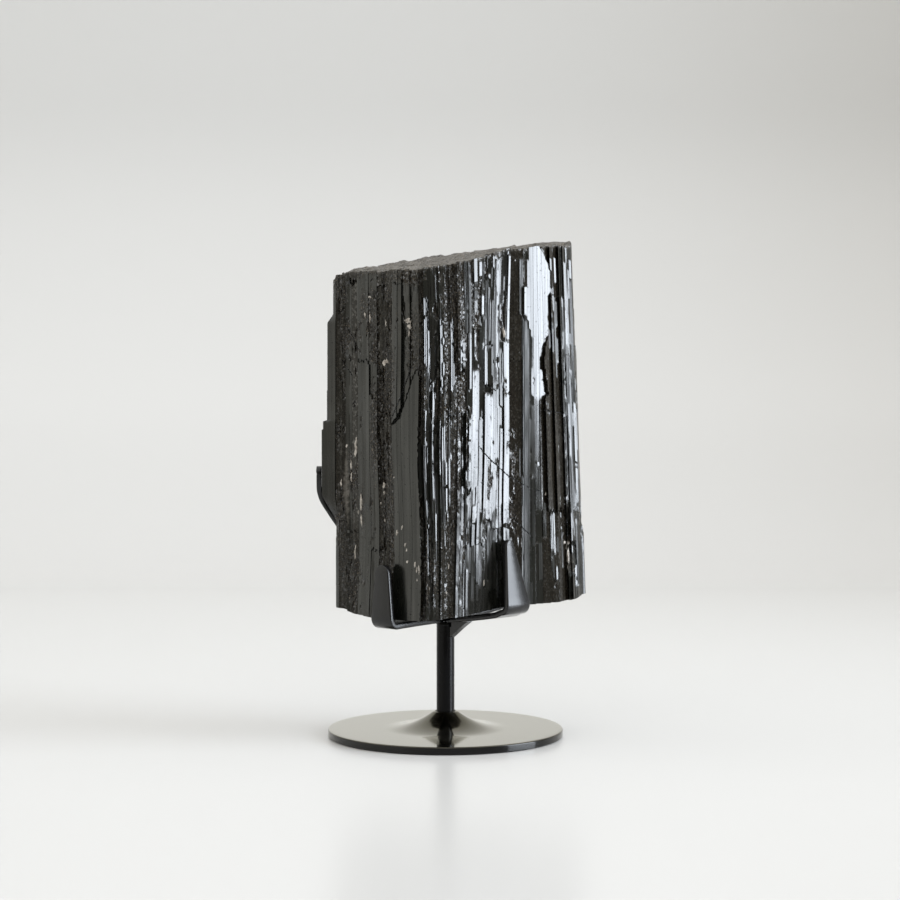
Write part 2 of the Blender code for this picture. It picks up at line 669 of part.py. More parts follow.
def main():
    for item in list(bpy.data.objects):
        bpy.data.objects.remove(item, do_unlink=True)
    black_paint = paint("black_paint", (0.012, 0.012, 0.013), 0.3)
    stone = paint("black_stone", (0.022, 0.021, 0.018), 0.25)
    make_base(black_paint)
    make_post(black_paint)
    for name, (azimuth, reach, rise, widths, tip, lean) in BENT_PRONGS.items():
        bent_prong(name, black_paint, azimuth, reach, rise, widths, tip, lean)
    make_back_left_prong(black_paint)
    make_gusset(black_paint)
    make_stone(stone)


main()
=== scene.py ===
"""Looks of the black tourmaline on its stand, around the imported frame.

The stone is one closed mesh made of the same ribs as the solid, at a finer grain:
each rib is split into narrow crystal faces and those into strips one striation wide,
with thin bright edges, ledges and rough broken zones. Sizes are in millimetres and
angles in degrees; azimuth 0 faces -Y.
"""

import math
import random
from collections import namedtuple

import bmesh
import bpy
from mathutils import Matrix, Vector, geometry, kdtree, noise
from mathutils.bvhtree import BVHTree


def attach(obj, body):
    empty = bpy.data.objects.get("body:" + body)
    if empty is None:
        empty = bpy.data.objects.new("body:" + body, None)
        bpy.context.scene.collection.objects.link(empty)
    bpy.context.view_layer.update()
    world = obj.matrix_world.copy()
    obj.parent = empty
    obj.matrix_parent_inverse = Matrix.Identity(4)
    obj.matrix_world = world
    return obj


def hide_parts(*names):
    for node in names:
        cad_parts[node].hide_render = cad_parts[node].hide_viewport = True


MM = 0.001

# ------------------------------ camera and room
CAMERA_X = 2.5
CAMERA_DISTANCE = 944.6
CAMERA_HEIGHT = 157.7
FOCAL_PIXELS = 1703
FRAME_PIXELS = 900
SENSOR_MM = 36

# The window and the sweep are in metres.
WINDOW_AZIMUTH = 78
WINDOW_DISTANCE = 1.6
WINDOW_WIDTH = 0.95
WINDOW_HEIGHT = 2.2
WINDOW_CENTRE = 0.75
WINDOW_POWER = 33
WINDOW_COLOUR = (0.85, 0.915, 1)
WINDOW_SPREAD = 110
SWEEP_COLOUR = (0.65, 0.643, 0.63)
SWEEP_ROUGHNESS = 0.24
SWEEP_HALF_WIDTH = 4
SWEEP_FRONT = -0.37
SWEEP_BACK = 1.7
SWEEP_BEND = 0.7
SWEEP_TOP = 4
SWEEP_DROP = 0.0002
SWEEP_STEPS = 24

# The room's glow by azimuth: a bright side on the left, a dim room behind the camera,
# and pale walls at the back.
ROOM_GLOW = (
    (-180, (0.8, 0.8, 0.78)), (-110, (0.88, 0.88, 0.83)), (-86, (1.1, 1.09, 1)),
    (-46, (1.04, 1.02, 0.92)), (-30, (0.6, 0.58, 0.51)), (-14, (0.34, 0.325, 0.28)),
    (0, (0.25, 0.24, 0.21)), (45, (0.24, 0.235, 0.21)), (66, (0.6, 0.61, 0.62)),
    (92, (0.66, 0.68, 0.7)), (106, (0.38, 0.38, 0.36)), (126, (0.6, 0.6, 0.58)),
    (180, (0.8, 0.8, 0.78)),
)
CEILING_GLOW = (1.45, 1.45, 1.43)
CEILING_START = 0.24
CEILING_END = 0.62

# ------------------------------ stand sizes
BASE_RADIUS = 65
BASE_THICKNESS = 4
BASE_EDGE_BEVEL = 0.8
BASE_FOOT_BEVEL = 0.4
BASE_FLAT_RINGS = (62, 50, 40)
ROUND_STEPS = 5
FLARE_RADIUS = 35
FLARE_HEIGHT = 9
FLARE_POWER = 2.2
FLARE_STEPS = 26
LIP_RADIUS = 6.9
LIP_ROUND = 0.7
LIP_SINK = 0.49
LIP_DEPTH = 1.6
LIP_ARC = (45, 170)
SOCKET_RADIUS = 5.35
SOCKET_FLOOR = 4
TURNED_SEGMENTS = 160
TURNED_SHARP = 32

POST_RADIUS = 5
POST_TOP = 62.7
POST_RINGS = (12, 24, 36, 48)
POST_FLANGE_RADIUS = 5.7
POST_FLANGE_HEIGHT = 2.2
POST_FLANGE_STEPS = 8
POST_RIM_HEIGHT = 0.5
POST_RIM_BEVEL = 0.2
PIN_RADIUS = 0.85
PIN_HEIGHT = 3
FIT_GAP = 0.3

GUSSET_LOWER_EDGE = ((5.3, 54.4), (7, 55.6), (9.5, 57.5), (12.7, 59.9), (18.3, 63.6))
GUSSET_NOTCH = 0.4
GUSSET_THICKNESS = 4
GUSSET_STEPS = 3
GUSSET_SHARP = 40

ARM_UNDERSIDE = 63
ARM_CURVE = 1.6
ARM_STEPS = 8
BAR_THICKNESS = 3.2
BAR_EDGE = 0.75
BAR_EDGE_SHARE = 0.3
BAR_EDGE_STEPS = 3
BAR_BEND = 4.2
BAR_SHARP = 50
BEND_RUN_IN = 4
BEND_STEPS = 10
UPRIGHT_STEPS = 7
MITRE_SLOPE = 0.88
MITRE_START = 1.2
MITRE_GAP = 0.35
TIP_STEPS = 9
TIP_SWEEP = 0.97
TIP_LEAN = 0.1

# Azimuth, reach of the upright's middle line, rise of the arm, widths, tip, lean.
BENT_PRONGS = {
    "front_left_prong": (-42, 49.8, -0.9, (12, 15, 10), 96.5, -0.3),
    "front_right_prong": (46, 53.2, 6.6, (12, 18, 6.2), 109.5, -6.4),
    "back_right_prong": (138, 58.5, 6.4, (12, 12, 9), 128, 0.5),
}

# The back left bar's way: x, y, z, facing, width. A smooth curve through its points
# swings out past them, so it is held within a margin of the leftmost one.
BACK_LEFT_ROUTE = (
    (-34.5, 36, 64.8, -136, 11),
    (-40, 41.8, 67.4, -136, 11),
    (-43, 44.8, 74, -136, 11),
    (-46, 44.5, 88, -136, 10.4),
    (-51.5, 41.5, 101.5, -132, 9.8),
    (-58, 36.5, 113, -122, 9.2),
    (-64.6, 29.5, 122.5, -110, 8.6),
    (-69.4, 22.5, 130.5, -100, 8),
    (-71, 17, 138, -95, 7.6),
    (-71, 15, 145, -93, 7.2),
)
CURVE_MARGIN = 0.2
CURVE_STEPS = 4

# ------------------------------ stone sizes
CELL_SEED = 4
STRIP_SEED = 11
ROWS = 156
FRONT_STRIP = (0.72, 1.05)
OTHER_STRIP = (1.1, 1.5)
THINNEST_STRIP = 0.3
STRIP_INSET = 0.02
CELL_GAP = 0.05
LEDGE_SPAN = 0.5
STEEPEST_FACING = 62
TOP_LEVEL = 263.2
TOP_SLOPE_X = 0.137
TOP_SLOPE_Y = 0.178
TOP_WAVE = 0.5
TOP_SPACING = 2.2
BACK_TOP_SHARE = 0.45
TOP_DROP = 1.1
BOTTOM_SPACING = 5
BOTTOM_RISE = 0.45
BOTTOM_RAG = 0.3
NET_WOBBLE = 0.28
NET_ROW = 0.87
NET_MERGE = 1e-6
RIM_BLEND = 6
FAN_START_X = 43
FAN_WIDTH = 12
FAN_LEAN = 0.033
FAN_TOP = 272
SWAY = 2.2
SWAY_LEFT = -56
SWAY_RIGHT = 42
SWAY_FADE = 12
TUCK = 1.7
TUCK_START_X = -49
TUCK_WIDTH = 10
TUCK_TOP = 133
TUCK_SPAN = 14
PRONG_CLEARANCE = 1.2
PRONG_MARGIN = 2.5
PRONG_FEATHER = 2.5
PRONG_PRESS = 0.86
BEND_CLEARANCE = 1
TIP_CLEARANCE = 1.5
LEFT_BLEND = 1.3
OUTER_REACH = 90
PANEL_FEATHER = 1.2
PANEL_STEP = 0.15
PANEL_BLEND = 0.3
WORN_EDGE = 1.5
FLAKE_DEPTH = 0.55
FLAKE_GRAIN = 0.22
FLAKE_LUMP = 0.45
EDGE_RAG = 2.4
EDGE_LIFT = 0.75
EDGE_TURN = 4
GLINT_FACING = 36
GLINT_TURN = 7
GREY_LIFT = 0.35
GREY_FACING = 27
GREY_TURN = 9
GREY_BELOW = 30
GREY_SATIN = 0.75
GRAIN_SINK = 0.30
GRAIN_THICKNESS = 0.55
GRAIN_SHARP = 60
RAY_START_Y = -120
STONE_SHARP = 24

# Rough, brown, pale and satin shares of a spot on the stone.
CLEAN_MASKS = (0, 0, 0, 0.05)
GROOVE_MASKS = (0.8, 0.9, 0, 0.3)
BOTTOM_MASKS = (0.9, 0.9, 0, 0.5)

# How far the front's lower edge sags and how high the bottom's edge is, as (X, height),
# and each side's outline as (place along it, distance from the middle).
FRONT_SAG = ((-44, 0), (-36, 0.65), (-12, 0.65), (-4, 0))
BOTTOM_RIM = (
    (-70, 72), (-57, 70.9), (-49, 68.8), (-40, 67.4), (-8, 67.2), (13, 69.5), (34, 73.7), (46, 73.8),
    (54, 74), (63, 74.9), (67, 76), (70, 77.4),
)
FRONT_OUTLINE = (
    (-61.5, 13), (-50, 20), (-38, 28), (-31, 32.5), (-25, 35), (-12, 40), (0, 43.5), (8, 42.5),
    (16, 38), (30, 29.5), (42, 22), (55, 13), (66, 3), (70, -2.4),
)
RIGHT_OUTLINE = ((4, 70), (12, 70.6), (22, 69), (29, 66.6))
BACK_OUTLINE = ((-64.5, 33), (-52, 37.5), (-30, 42), (-8, 43.5), (14, 41), (34, 36), (51, 27))
LEFT_OUTLINE = ((-22, 56), (-12, 59.6), (0, 60.5), (11.5, 60.6))

# How a crystal face is finished: how far its narrow faces turn and how far each one
# wanders along its height, how deep its lines are, the share of its skin that has
# flaked away, how ragged its broken ends are, the width of its narrow faces, how far
# its polish is dulled, and its painted shares of rough and brown.
Finish = namedtuple("Finish", "turn wander lines flaked rag narrow wide satin rough brown")
FINISHES = {
    "glass": Finish(0.8, 1.2, 0.012, 0.04, 2, 4, 9, 0.1, 0, 0),
    "lined": Finish(6, 4, 0.085, 0.16, 3.5, 1, 2.6, 0.25, 0, 0),
    "dark": Finish(3, 2, 0.05, 0.10, 3, 1.4, 3.2, 0.3, 0.05, 0.7),
    "sheen": Finish(3.5, 3, 0.035, 0.07, 3.5, 1, 2.6, 0.34, 0, 0),
    "ribbed": Finish(9, 6, 0.12, 0.12, 4, 0.8, 1.8, 0.4, 0, 0),
    "glinting": Finish(9, 15, 0.10, 0.22, 4, 0.7, 1.4, 0.15, 0, 0),
    "brown": Finish(6, 4, 0.075, 0.25, 3, 1.4, 3.2, 0.3, 0.06, 0.6),
    "rough": Finish(10, 9, 0.10, 0.50, 3, 1, 2.4, 0.3, 0.18, 0.6),
}

# Ribs: end, facing, how proud, groove before it, how far its top stands up, finish,
# ledges and turns. A ledge is a height, how far the face steps out below it, and the
# height it takes if not the usual one. A turn is a height, the facing below it and the
# height it takes.
FRONT_RIBS = (
    (-59.9, -40, 0, 0.3, -1.6, "ribbed"),
    (-54.3, -7, -0.9, 0.7, 1, "brown", ((234, -0.7), (166, 1.4), (119, -1))),
    (-50.8, -14, 0.9, 0.4, 1.5, "lined", ((249, -1.6, 2), (209, 0.8, 3), (113, 1.2)), ((118, -3, 14),)),
    (-47.5, -16, 0.7, 0.4, 1.6, "brown", ((249, -1.6, 2), (213, 0.8, 3), (113, 1.2)),
     ((206, -24, 6), (116, -8, 14))),
    (-41.3, -32, 0.6, 0.8, 1.4, "lined", ((206, 0.9), (128, -0.7, 3))),
    (-36.9, -26, -0.3, 1.6, 1.5, "lined", ((186.3, 1.1), (104, -1))),
    (-32.6, -10, -1.5, 0.3, 0.7, "rough", ((246, -1), (206, -0.6, 4), (140, 1.6))),
    (-28.6, -18, -0.9, 0.3, 1.1, "rough", ((215, -1, 3), (150, 1, 2))),
    (-25.6, -42, 0.9, 0.3, 1, "lined", ((246, 0.8), (141.8, -0.9))),
    (-23.2, -24, 0.9, 0.4, 0.8, "lined", ((246, 0.8), (141.8, -0.9))),
    (-18.4, -26, 0.3, 0.3, 0.5, "lined", ((238, -0.8, 5),)),
    (-13.5, -32, 0.2, 0.2, -0.6, "lined", ((244, -0.9, 5),)),
    (-10.8, 8, -0.7, 0.4, -0.4, "brown", ((212, -0.6),)),
    (-7, 10, 0.9, 0.3, 0, "glinting", ((229, 0.4), (168, -0.4), (120, 0.4))),
    (-2.8, 12, 0.5, 0.2, 0, "glinting", ((218, -0.4), (150, 0.4))),
    (0.9, 10, 0.1, 0.3, 0, "glinting", ((224, 0.4), (138, -0.4))),
    (2.5, 6, -1.6, 0, 0, "brown", ((222, 1.2, 6), (195, -1.2, 4), (174, 1, 4))),
    (6.2, 12, -0.7, 0.4, 0, "rough", ((160, -0.4),)),
    (10.5, 26, 0.6, 0.4, 0.9, "rough", ((200, -1.7), (142, 0.6)), ((176, 36, 6), (128, 24, 8))),
    (13.7, 18, 0, 0.4, 0.7, "lined", ((177.5, 1.2, 3), (136.5, -1.1)), ((178, 38, 4), (120, 26, 26))),
    (17.4, 14, 0.3, 0.3, 0.9, "sheen", ((222, -0.5), (118, -0.9)), ((200, 37, 5), (122, 24, 24))),
    (20.6, 22, -0.8, 0.5, 1.4, "sheen", ((176, 0.8, 6), (108, -0.8)), ((176, 37, 8), (126, 26, 24))),
    (25.5, 10, -0.4, 0.4, 2.6, "sheen", ((213.5, 0.9), (192, -1.5), (188, 1.6), (120, -1.2)),
     ((188, 38, 3), (116, 27, 14))),
    (29.3, 31, 0.4, 0.2, 3, "sheen", ((206, -0.5), (115, -0.9)), ((188, 38, 20), (112, 25, 18))),
    (31.8, 20, -0.5, 0.3, 3.1, "sheen", ((170, 0.5),), ((190, 36, 8), (116, 22, 16))),
    (34.8, 18, 0.4, 0.3, 3.3, "lined", ((117, 0.8),), ((222, 38, 16), (112, 26, 12))),
    (42, 12, -1.3, 0.4, 2.6, "dark", ((206, -0.6), (128, 0.8))),
    (47.4, 27, 0.9, 0.9, 1.8, "glass", ((144, -0.7, 2),)),
    (49.6, 38, 0.9, 0.2, 1.6, "glass", ((150, 0.3),), ((124, 14, 4),)),
    (52.1, 60, 0.5, 0.2, 1.4, "dark", (), ((124, 20, 2),)),
    (56.7, 61, 0.2, 0.3, 0.8, "dark", ((124.6, -1.8),), ((124, 20, 2),)),
    (61.8, 60, -0.2, 0.3, 0.2, "dark", ((242.6, -0.8), (178, 0.5), (124.2, -1.6)), ((124, 54, 2),)),
    (64.2, 55, 0.5, 0.6, -0.4, "ribbed", ((177, -0.6), (124, -1.2), (98, 1)),
     ((226, 46, 10), (124, 52, 4))),
    (66.9, 53, 0.3, 0.4, -1, "ribbed", ((210, 0.5), (107, -1.2), (88, 1.3)),
     ((214, 49, 12), (122, 58, 10))),
    (69.7, 54, 0.1, 0.4, -1.8, "ribbed", ((196, 0.6), (123, -0.8)), ((205, 50, 20), (124, 62, 10))),
)
RIGHT_RIBS = (
    (8.5, 76, 0.2, 0.4, -2, "ribbed", ((214, 0.6), (116, 0.9))),
    (12, 98, -0.8, 0.6, 0, "lined", ((188, -0.7), (132, 1))),
    (18.5, 84, 0.6, 0.5, -1.2, "lined", ((236, 0.6), (150, -1.4), (96, 1.2))),
    (22.5, 104, -0.6, 0.7, -1.8, "brown", ((204, 1.1, 3), (118, -0.7))),
    (27.5, 112, 0.6, 0.4, -2.6, "ribbed", ((222, -1.2), (140, 0.9))),
)
BACK_RIBS = (
    (-58, 146, 0.4, 0.6, -1, "lined", ((216, 0.7), (128, -1))),
    (-53.5, 162, -0.8, 0.7, -0.7, "rough", ((236, -0.8), (172, 1.3))),
    (-44, 168, 1, 0.6, -0.7, "lined", ((240, 0.7), (190, -1.4), (112, 1.1))),
    (-39.5, 178, -1.4, 0.8, -1.6, "brown", ((208, 0.8), (146, -0.8))),
    (-31, 164, 0.7, 0.5, 0.8, "ribbed", ((228, 0.9), (158, -1.2, 3))),
    (-26.5, 184, -0.5, 0.7, 0, "lined", ((184, -0.9), (120, 1.2))),
    (-16, 174, 1.3, 0.6, 1.1, "glass", ((244, 0.6), (166, -1.6), (104, 0.8))),
    (-11.5, 168, -1.1, 0.9, -1, "rough", ((220, 1), (136, -0.9))),
    (-4, 186, 0.5, 0.4, 0, "ribbed", ((198, 0.8, 2), (126, -0.8))),
    (1.5, 176, -1.6, 0.8, -1.8, "brown", ((230, -0.8), (178, 1.9), (118, -0.9))),
    (11, 190, 0.9, 0.7, 0.5, "lined", ((212, -1.3), (150, 1.1))),
    (16, 182, -0.7, 0.6, 0, "rough", ((234, 0.7), (162, -0.8))),
    (24.5, 196, 0.8, 0.6, -0.9, "glass", ((204, 1), (140, -1.5, 3))),
    (29.5, 204, -0.9, 0.8, 0.6, "brown", ((224, -0.9), (170, 1.2))),
    (39, 198, 0.7, 0.5, 0, "lined", ((236, 0.8), (182, -1.1), (114, 0.6))),
    (44.5, 214, -0.8, 0.7, -1.1, "rough", ((210, 0.9), (148, -0.8))),
    (51, 212, 0.5, 0.5, 0, "ribbed", ((226, -0.8), (166, 1.1), (120, -1.4, 4))),
)
LEFT_RIBS = (
    (-16.5, 246, 0.3, 0.5, -1.6, "lined", ((206, 0.6),)),
    (-12.5, 262, -0.8, 0.7, -3, "brown", ((218, -0.6), (152, 0.9))),
    (-5.5, 256, 0.7, 0.5, -4, "lined", ((196, -1),)),
    (-2, 276, -0.7, 0.7, -6, "ribbed", ((184, 0.9), (104, -0.6))),
    (5.5, 268, 0.6, 0.5, -5, "lined", ((212, 0.6), (144, -0.9))),
    (11.5, 290, 0, 0.4, -4.5, "ribbed", ((190, 0.5),)),
)

# A side: where it starts, its ribs, the way it runs, the way it faces, and its outline.
Side = namedtuple("Side", "start ribs run face outline azimuth")
FRONT = Side(-61.5, FRONT_RIBS, (1, 0), (0, -1), FRONT_OUTLINE, 0)
LEFT = Side(-21.5, LEFT_RIBS, (0, -1), (-1, 0), LEFT_OUTLINE, 270)
SIDES = (
    FRONT,
    Side(4.4, RIGHT_RIBS, (0, 1), (1, 0), RIGHT_OUTLINE, 90),
    Side(-64, BACK_RIBS, (-1, 0), (0, 1), BACK_OUTLINE, 180),
    LEFT,
)

# Ledges that run across the whole left side and the front's left end.
LEFT_BULGE = ((229.6, 3.2, 4.5), (173.8, 2.2, 0.8), (169, 0.8, 0.8), (126, -6.2, 14))

# Thin bright edges on the front: middle, half width, upper and lower end, facing.
BRIGHT_EDGES = (
    (-11.6, 0.5, 161.5, 101, 37), (-9.6, 0.4, 178.5, 168, 38), (-9.9, 1.4, 238, 203, 38),
    (-8.3, 0.6, 159.5, 125, 38), (-9.3, 0.5, 131, 88, 36), (-8.5, 1, 214, 198, 37),
    (-6.9, 1.5, 194, 178, 37), (-6, 0.5, 180.5, 152, 38), (-5.2, 0.7, 125, 109, 38),
    (-7.4, 0.6, 195, 176, 40), (-4.3, 0.5, 251, 229, 31), (-2.4, 1.1, 227, 188, 38),
    (-3.1, 0.5, 151.5, 74, 38), (-1.2, 1, 170.5, 152, 38), (0.7, 0.5, 151.5, 124.5, 38),
    (3.3, 0.9, 227, 190, 37), (8.2, 0.4, 155, 139, 38), (9.6, 1.1, 177, 134, 38),
    (12.2, 0.9, 178, 140, 38), (7, 1.2, 124, 70, 29), (11.1, 1, 258, 231, 31), (8.6, 1.2, 215, 200, 36),
    (12.4, 0.9, 221, 188, 35), (18.2, 0.5, 260, 251, 38), (19.5, 0.6, 240, 231, 38),
    (21.2, 1, 213, 192, 35), (33.7, 0.8, 264, 216, 38), (43.4, 1.9, 229, 76, 29), (41, 1, 262, 231, 29),
    (50.6, 0.6, 128, 110, 38), (53.6, 0.8, 122, 103, 38), (59.6, 0.5, 262, 250, 38),
    (61, 0.5, 252, 236, 37), (65.4, 0.7, 262, 216, 38), (68.4, 0.5, 263, 252, 40),
    (66.3, 0.9, 94, 82, 38),
)

# Patches where fine lines catch the light: X, height, half width, half height, and the
# shares of bright and of grey lines in them.
GLINTS = (
    (-5.3, 138, 6.4, 36, 0.22, 0.55), (-5.5, 200, 5.5, 26, 0.06, 0.36), (1.5, 182, 4.5, 14, 0.14, 0.3),
    (9, 100, 4.5, 34, 0.12, 0.6), (16.5, 108, 5.5, 22, 0.16, 0.5), (27, 106, 7, 20, 0.12, 0.55),
    (14, 240, 5, 20, 0.02, 0.3), (24, 232, 4.5, 26, 0, 0.34), (30.5, 222, 1.8, 40, 0.12, 0.4),
    (45, 130, 3.5, 60, 0, 0.3), (58, 230, 4, 30, 0, 0.2), (65.5, 170, 3.5, 80, 0.04, 0.6),
    (55, 108, 5, 16, 0.14, 0.3), (-10, 85, 4, 10, 0.06, 0.3),
)

# Large clean faces: facing, reference X, lift, and their left and right edges as rows
# of (height, X). The first is the bright cleavage face on the upper right.
PANELS = (
    (38, 50, 1.4, (
        (185, 51.4), (188, 48.9), (204, 47.9), (217, 47.3), (222, 45.7), (228, 44.8), (228.8, 42.9),
        (235, 42.4), (243, 42.4), (260, 44.3), (270, 44.6),
    ), (
        (185, 51.5), (188.5, 54.9), (193.5, 54.1), (199.5, 53.5), (204, 51.6), (207, 52.4), (215, 53.5),
        (221, 55.2), (224.6, 56.5), (229, 56), (237, 56.5), (243.2, 56.5), (243.8, 58.7), (253.7, 57.9),
        (259.7, 56.3), (265.2, 53.5), (269.6, 50.8),
    )),
    (-30, -20, 0.4, (
        (66, -28.2), (171, -28.2), (175, -24.2), (187, -19.4), (197, -16.4), (201, -14.4),
    ), (
        (66, -13.4), (150, -13.6), (196, -13.2), (201, -14.3),
    )),
)

# Tinted zones on the front: X, height, half width, half height, kind, strength.
ZONES = (
    (-54, 136.5, 1.3, 17, "pale", 0.3), (-48.4, 146, 0.9, 3.6, "pit", 1),
    (-17, 250, 7, 4.5, "pit", 0.9), (25, 262.5, 4.4, 3.2, "grain", 0.9),
    (4.4, 165, 1.9, 90, "grain", 0.6), (8, 236, 2.4, 26, "grain", 0.9),
    (-57.2, 104, 2.7, 32, "pit", 0.5), (-52, 94, 4, 20, "pit", 0.4), (-51.5, 148, 1.2, 11, "grain", 1),
    (-45.8, 127, 1, 11, "grain", 1), (-39.5, 232, 3, 12, "grain", 0.9),
    (-38.8, 168, 2.2, 26, "grain", 0.9), (-30.6, 196, 3.4, 22, "grain", 1),
    (-31, 135, 2.8, 28, "grain", 0.8), (-15.5, 215, 4.6, 18, "grain", 0.7),
    (-16.8, 176, 2.2, 12, "grain", 0.8), (-12.5, 190, 3.4, 16, "grain", 1),
    (-4, 186, 5, 8, "grain", 0.9), (0.5, 205, 2, 45, "grain", 0.8), (-2, 92, 5, 22, "grain", 0.7),
    (14, 235, 2.6, 12, "grain", 0.7), (17, 104, 4.5, 12, "grain", 0.6),
    (41.6, 248, 1.5, 14, "grain", 0.8), (63, 160, 3.6, 60, "satin", 0.8),
    (30, 112, 6, 14, "satin", 0.9), (12, 120, 6, 30, "satin", 0.6), (7, 100, 1.6, 26, "satin", 0.8),
    (43.6, 150, 2.2, 80, "satin", 0.8), (-56.5, 247, 3, 14, "grain", 0.9),
    (-47.5, 255, 4.5, 5, "pit", 0.7), (-37, 256.5, 5.5, 4.5, "pit", 0.7),
    (-26.5, 254, 4.5, 6, "pit", 0.65), (-44, 236, 1.6, 9, "pit", 0.6),
)

# Cream grains set in the front: X, height, half width, half height, lean.
GRAINS = (
    (-40.9, 240.3, 0.9, 0.7, 10), (-43.4, 230.6, 0.5, 1.7, 0), (-40.7, 228.5, 0.45, 3.4, 2),
    (-31.9, 225.5, 0.4, 1.9, -4), (-20.1, 226.4, 1.5, 1.5, 15), (-19.3, 223.4, 0.9, 1.4, 10),
    (-19.3, 220, 0.4, 1.8, 0), (-32.2, 205, 1.2, 1.8, 20), (-48.7, 159.3, 0.8, 4.6, 5),
    (-48.2, 163, 0.5, 1.5, -8), (-53.6, 160, 0.5, 1.3, 0), (-56.9, 140, 0.55, 2.4, 4),
    (-51.3, 150, 0.5, 3, 3), (-50.8, 143, 0.45, 3, -3), (-45.6, 128.5, 0.6, 5.5, 2),
    (-45.4, 119.5, 0.5, 3.6, -2), (-47, 124, 0.4, 1.8, 5), (-48.9, 103, 0.45, 4.4, 3),
    (-33.2, 138.5, 0.7, 1.6, 12), (-32.6, 134.6, 0.6, 1.2, 0), (-34.8, 129, 0.4, 0.9, 0),
    (-32.6, 119.8, 0.5, 0.9, -20), (-25.9, 113.2, 0.7, 1.4, 8), (-23.2, 116, 0.45, 1.2, 12),
    (-21.5, 107, 0.5, 1.2, 15), (-20.6, 104.2, 0.45, 1, 0), (-20.3, 98, 0.6, 0.9, 0),
    (-16.2, 96.8, 0.5, 1.8, 0), (-15.2, 93.8, 0.45, 2.2, 3), (-14, 94.4, 0.4, 3, 0),
    (-15, 88.6, 0.4, 0.7, 0), (-27.5, 143, 0.35, 0.5, 0), (-8.3, 84, 0.4, 1.4, 0),
    (1.8, 96, 0.4, 1.6, 6), (3.4, 108, 0.35, 0.9, 0), (0.6, 82, 0.4, 1, -8), (20.6, 86.5, 0.45, 2, 4),
    (65.6, 107, 1.3, 1.1, 20), (67.9, 106.6, 1.2, 1.2, -20), (67, 104.2, 1, 1.6, 0),
    (67.9, 98.8, 0.65, 4.4, 2), (67.6, 93, 0.45, 2, -4), (54.6, 133.8, 0.5, 1.1, 10),
    (31.6, 221.5, 0.6, 3.4, 2),
)

# Cracks across the front, as rows of (X, height).
CRACK_WIDTH = 0.30
CRACKS = (
    ((18.3, 159.3), (23.2, 153.4), (34, 143.6), (45, 137.5), (51.6, 135.3)),
    ((37.8, 119.6), (47.2, 110.2)), ((53.4, 179.4), (66, 177.8)),
    ((-54.3, 226), (-50.5, 219.5), (-47, 212)), ((-56.5, 207), (-50.8, 198.5)),
    ((-29, 174), (-24.5, 184), (-18.5, 200.5)), ((22.6, 192.5), (27, 189.5)),
)


# ------------------------------ small helpers
def clamp(value, low=0, high=1):
    return max(low, min(high, value))


def smooth(value):
    value = clamp(value)
    return value * value * (3 - 2 * value)


def shares(steps):
    """Evenly spaced shares from 0 to 1."""
    return [step / steps for step in range(steps + 1)]


def along(points, place):
    """Read a value from a short list of (place, value) pairs."""
    for (x0, y0), (x1, y1) in zip(points, points[1:]):
        if place <= x1:
            return y0 + (y1 - y0) * clamp((place - x0) / (x1 - x0))
    return points[-1][1]


def outward(azimuth):
    angle = math.radians(azimuth)
    return Vector((math.sin(angle), -math.cos(angle), 0))


def raised(height):
    return Vector((0, 0, height))


def wave(x, y, z=0):
    """Smooth noise at a spot; a fixed number among the three picks its own field."""
    return noise.noise(Vector((x, y, z)))


def streak(seed, height, coarse, fine):
    """Noise up a strip from a coarse and a fine part, each a (field, pitch) pair."""
    return wave(seed, coarse[0], height * coarse[1]) + 0.3 * wave(seed, fine[0], height * fine[1])


def hashed(*values):
    """A repeatable number from 0 to 1 for a few whole numbers."""
    total = sum(math.sin(value * 12.9898 + place * 78.233) * 43758.5453
                for place, value in enumerate(values))
    return total - math.floor(total)


def add_object(name, data):
    item = bpy.data.objects.new(name, data)
    bpy.context.scene.collection.objects.link(item)
    return item


def mesh_object(name, builder, material):
    """Turn a bmesh into an object with one material."""
    mesh = bpy.data.meshes.new(name)
    builder.to_mesh(mesh)
    builder.free()
    mesh.materials.append(material)
    return add_object(name, mesh)


def put(name, builder, material, node, sharp_angle):
    """Turn a bmesh in millimetres into a piece that rides on the root body."""
    bmesh.ops.recalc_face_normals(builder, faces=builder.faces)
    for vertex in builder.verts:
        vertex.co *= MM
    piece = mesh_object(name, builder, material)
    piece.data.shade_smooth()
    piece.data.set_sharp_from_angle(angle=math.radians(sharp_angle))
    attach(piece, "root")
    if node:
        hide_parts(node)


# ------------------------------ materials
CLEAN_TONES = ((0.35, (0.0055, 0.006, 0.005)), (0.65, (0.009, 0.0095, 0.0075)))
EARTHY_TONES = ((0.35, (0.006, 0.0045, 0.0035)), (0.62, (0.020, 0.016, 0.011)))
CHALKY_TONES = ((0.3, (0.15, 0.135, 0.115)), (0.65, (0.42, 0.385, 0.34)))
CREAM_TONES = ((0.3, (0.22, 0.19, 0.16)), (0.7, (0.62, 0.58, 0.53)))
PAINT_TONES = ((0.3, (0.0012, 0.0012, 0.0015)), (0.7, (0.0028, 0.0028, 0.0032)))
# Tiny pale specks in the rough zones: partly pale mineral grains, partly painted glints that stand in for
# sparkle.
SPECK_AND_GLINT_COLOUR = (0.27, 0.225, 0.17)
CRACK_COLOUR = (0.002, 0.002, 0.002)
DUST_COLOUR = (0.25, 0.24, 0.22)
# Painted light on the base: a lighter olive metal colour and a warm coat tint for its upward faces, so the
# top reads lit.
PAINTED_LIT_TOP_METAL = (0.11, 0.104, 0.078)
PAINTED_LIT_TOP_TINT = (1, 0.98, 0.90)
STONE_INDEX = 1.63
PAINT_INDEX = 1.12
GRIT_SCALE = 1500


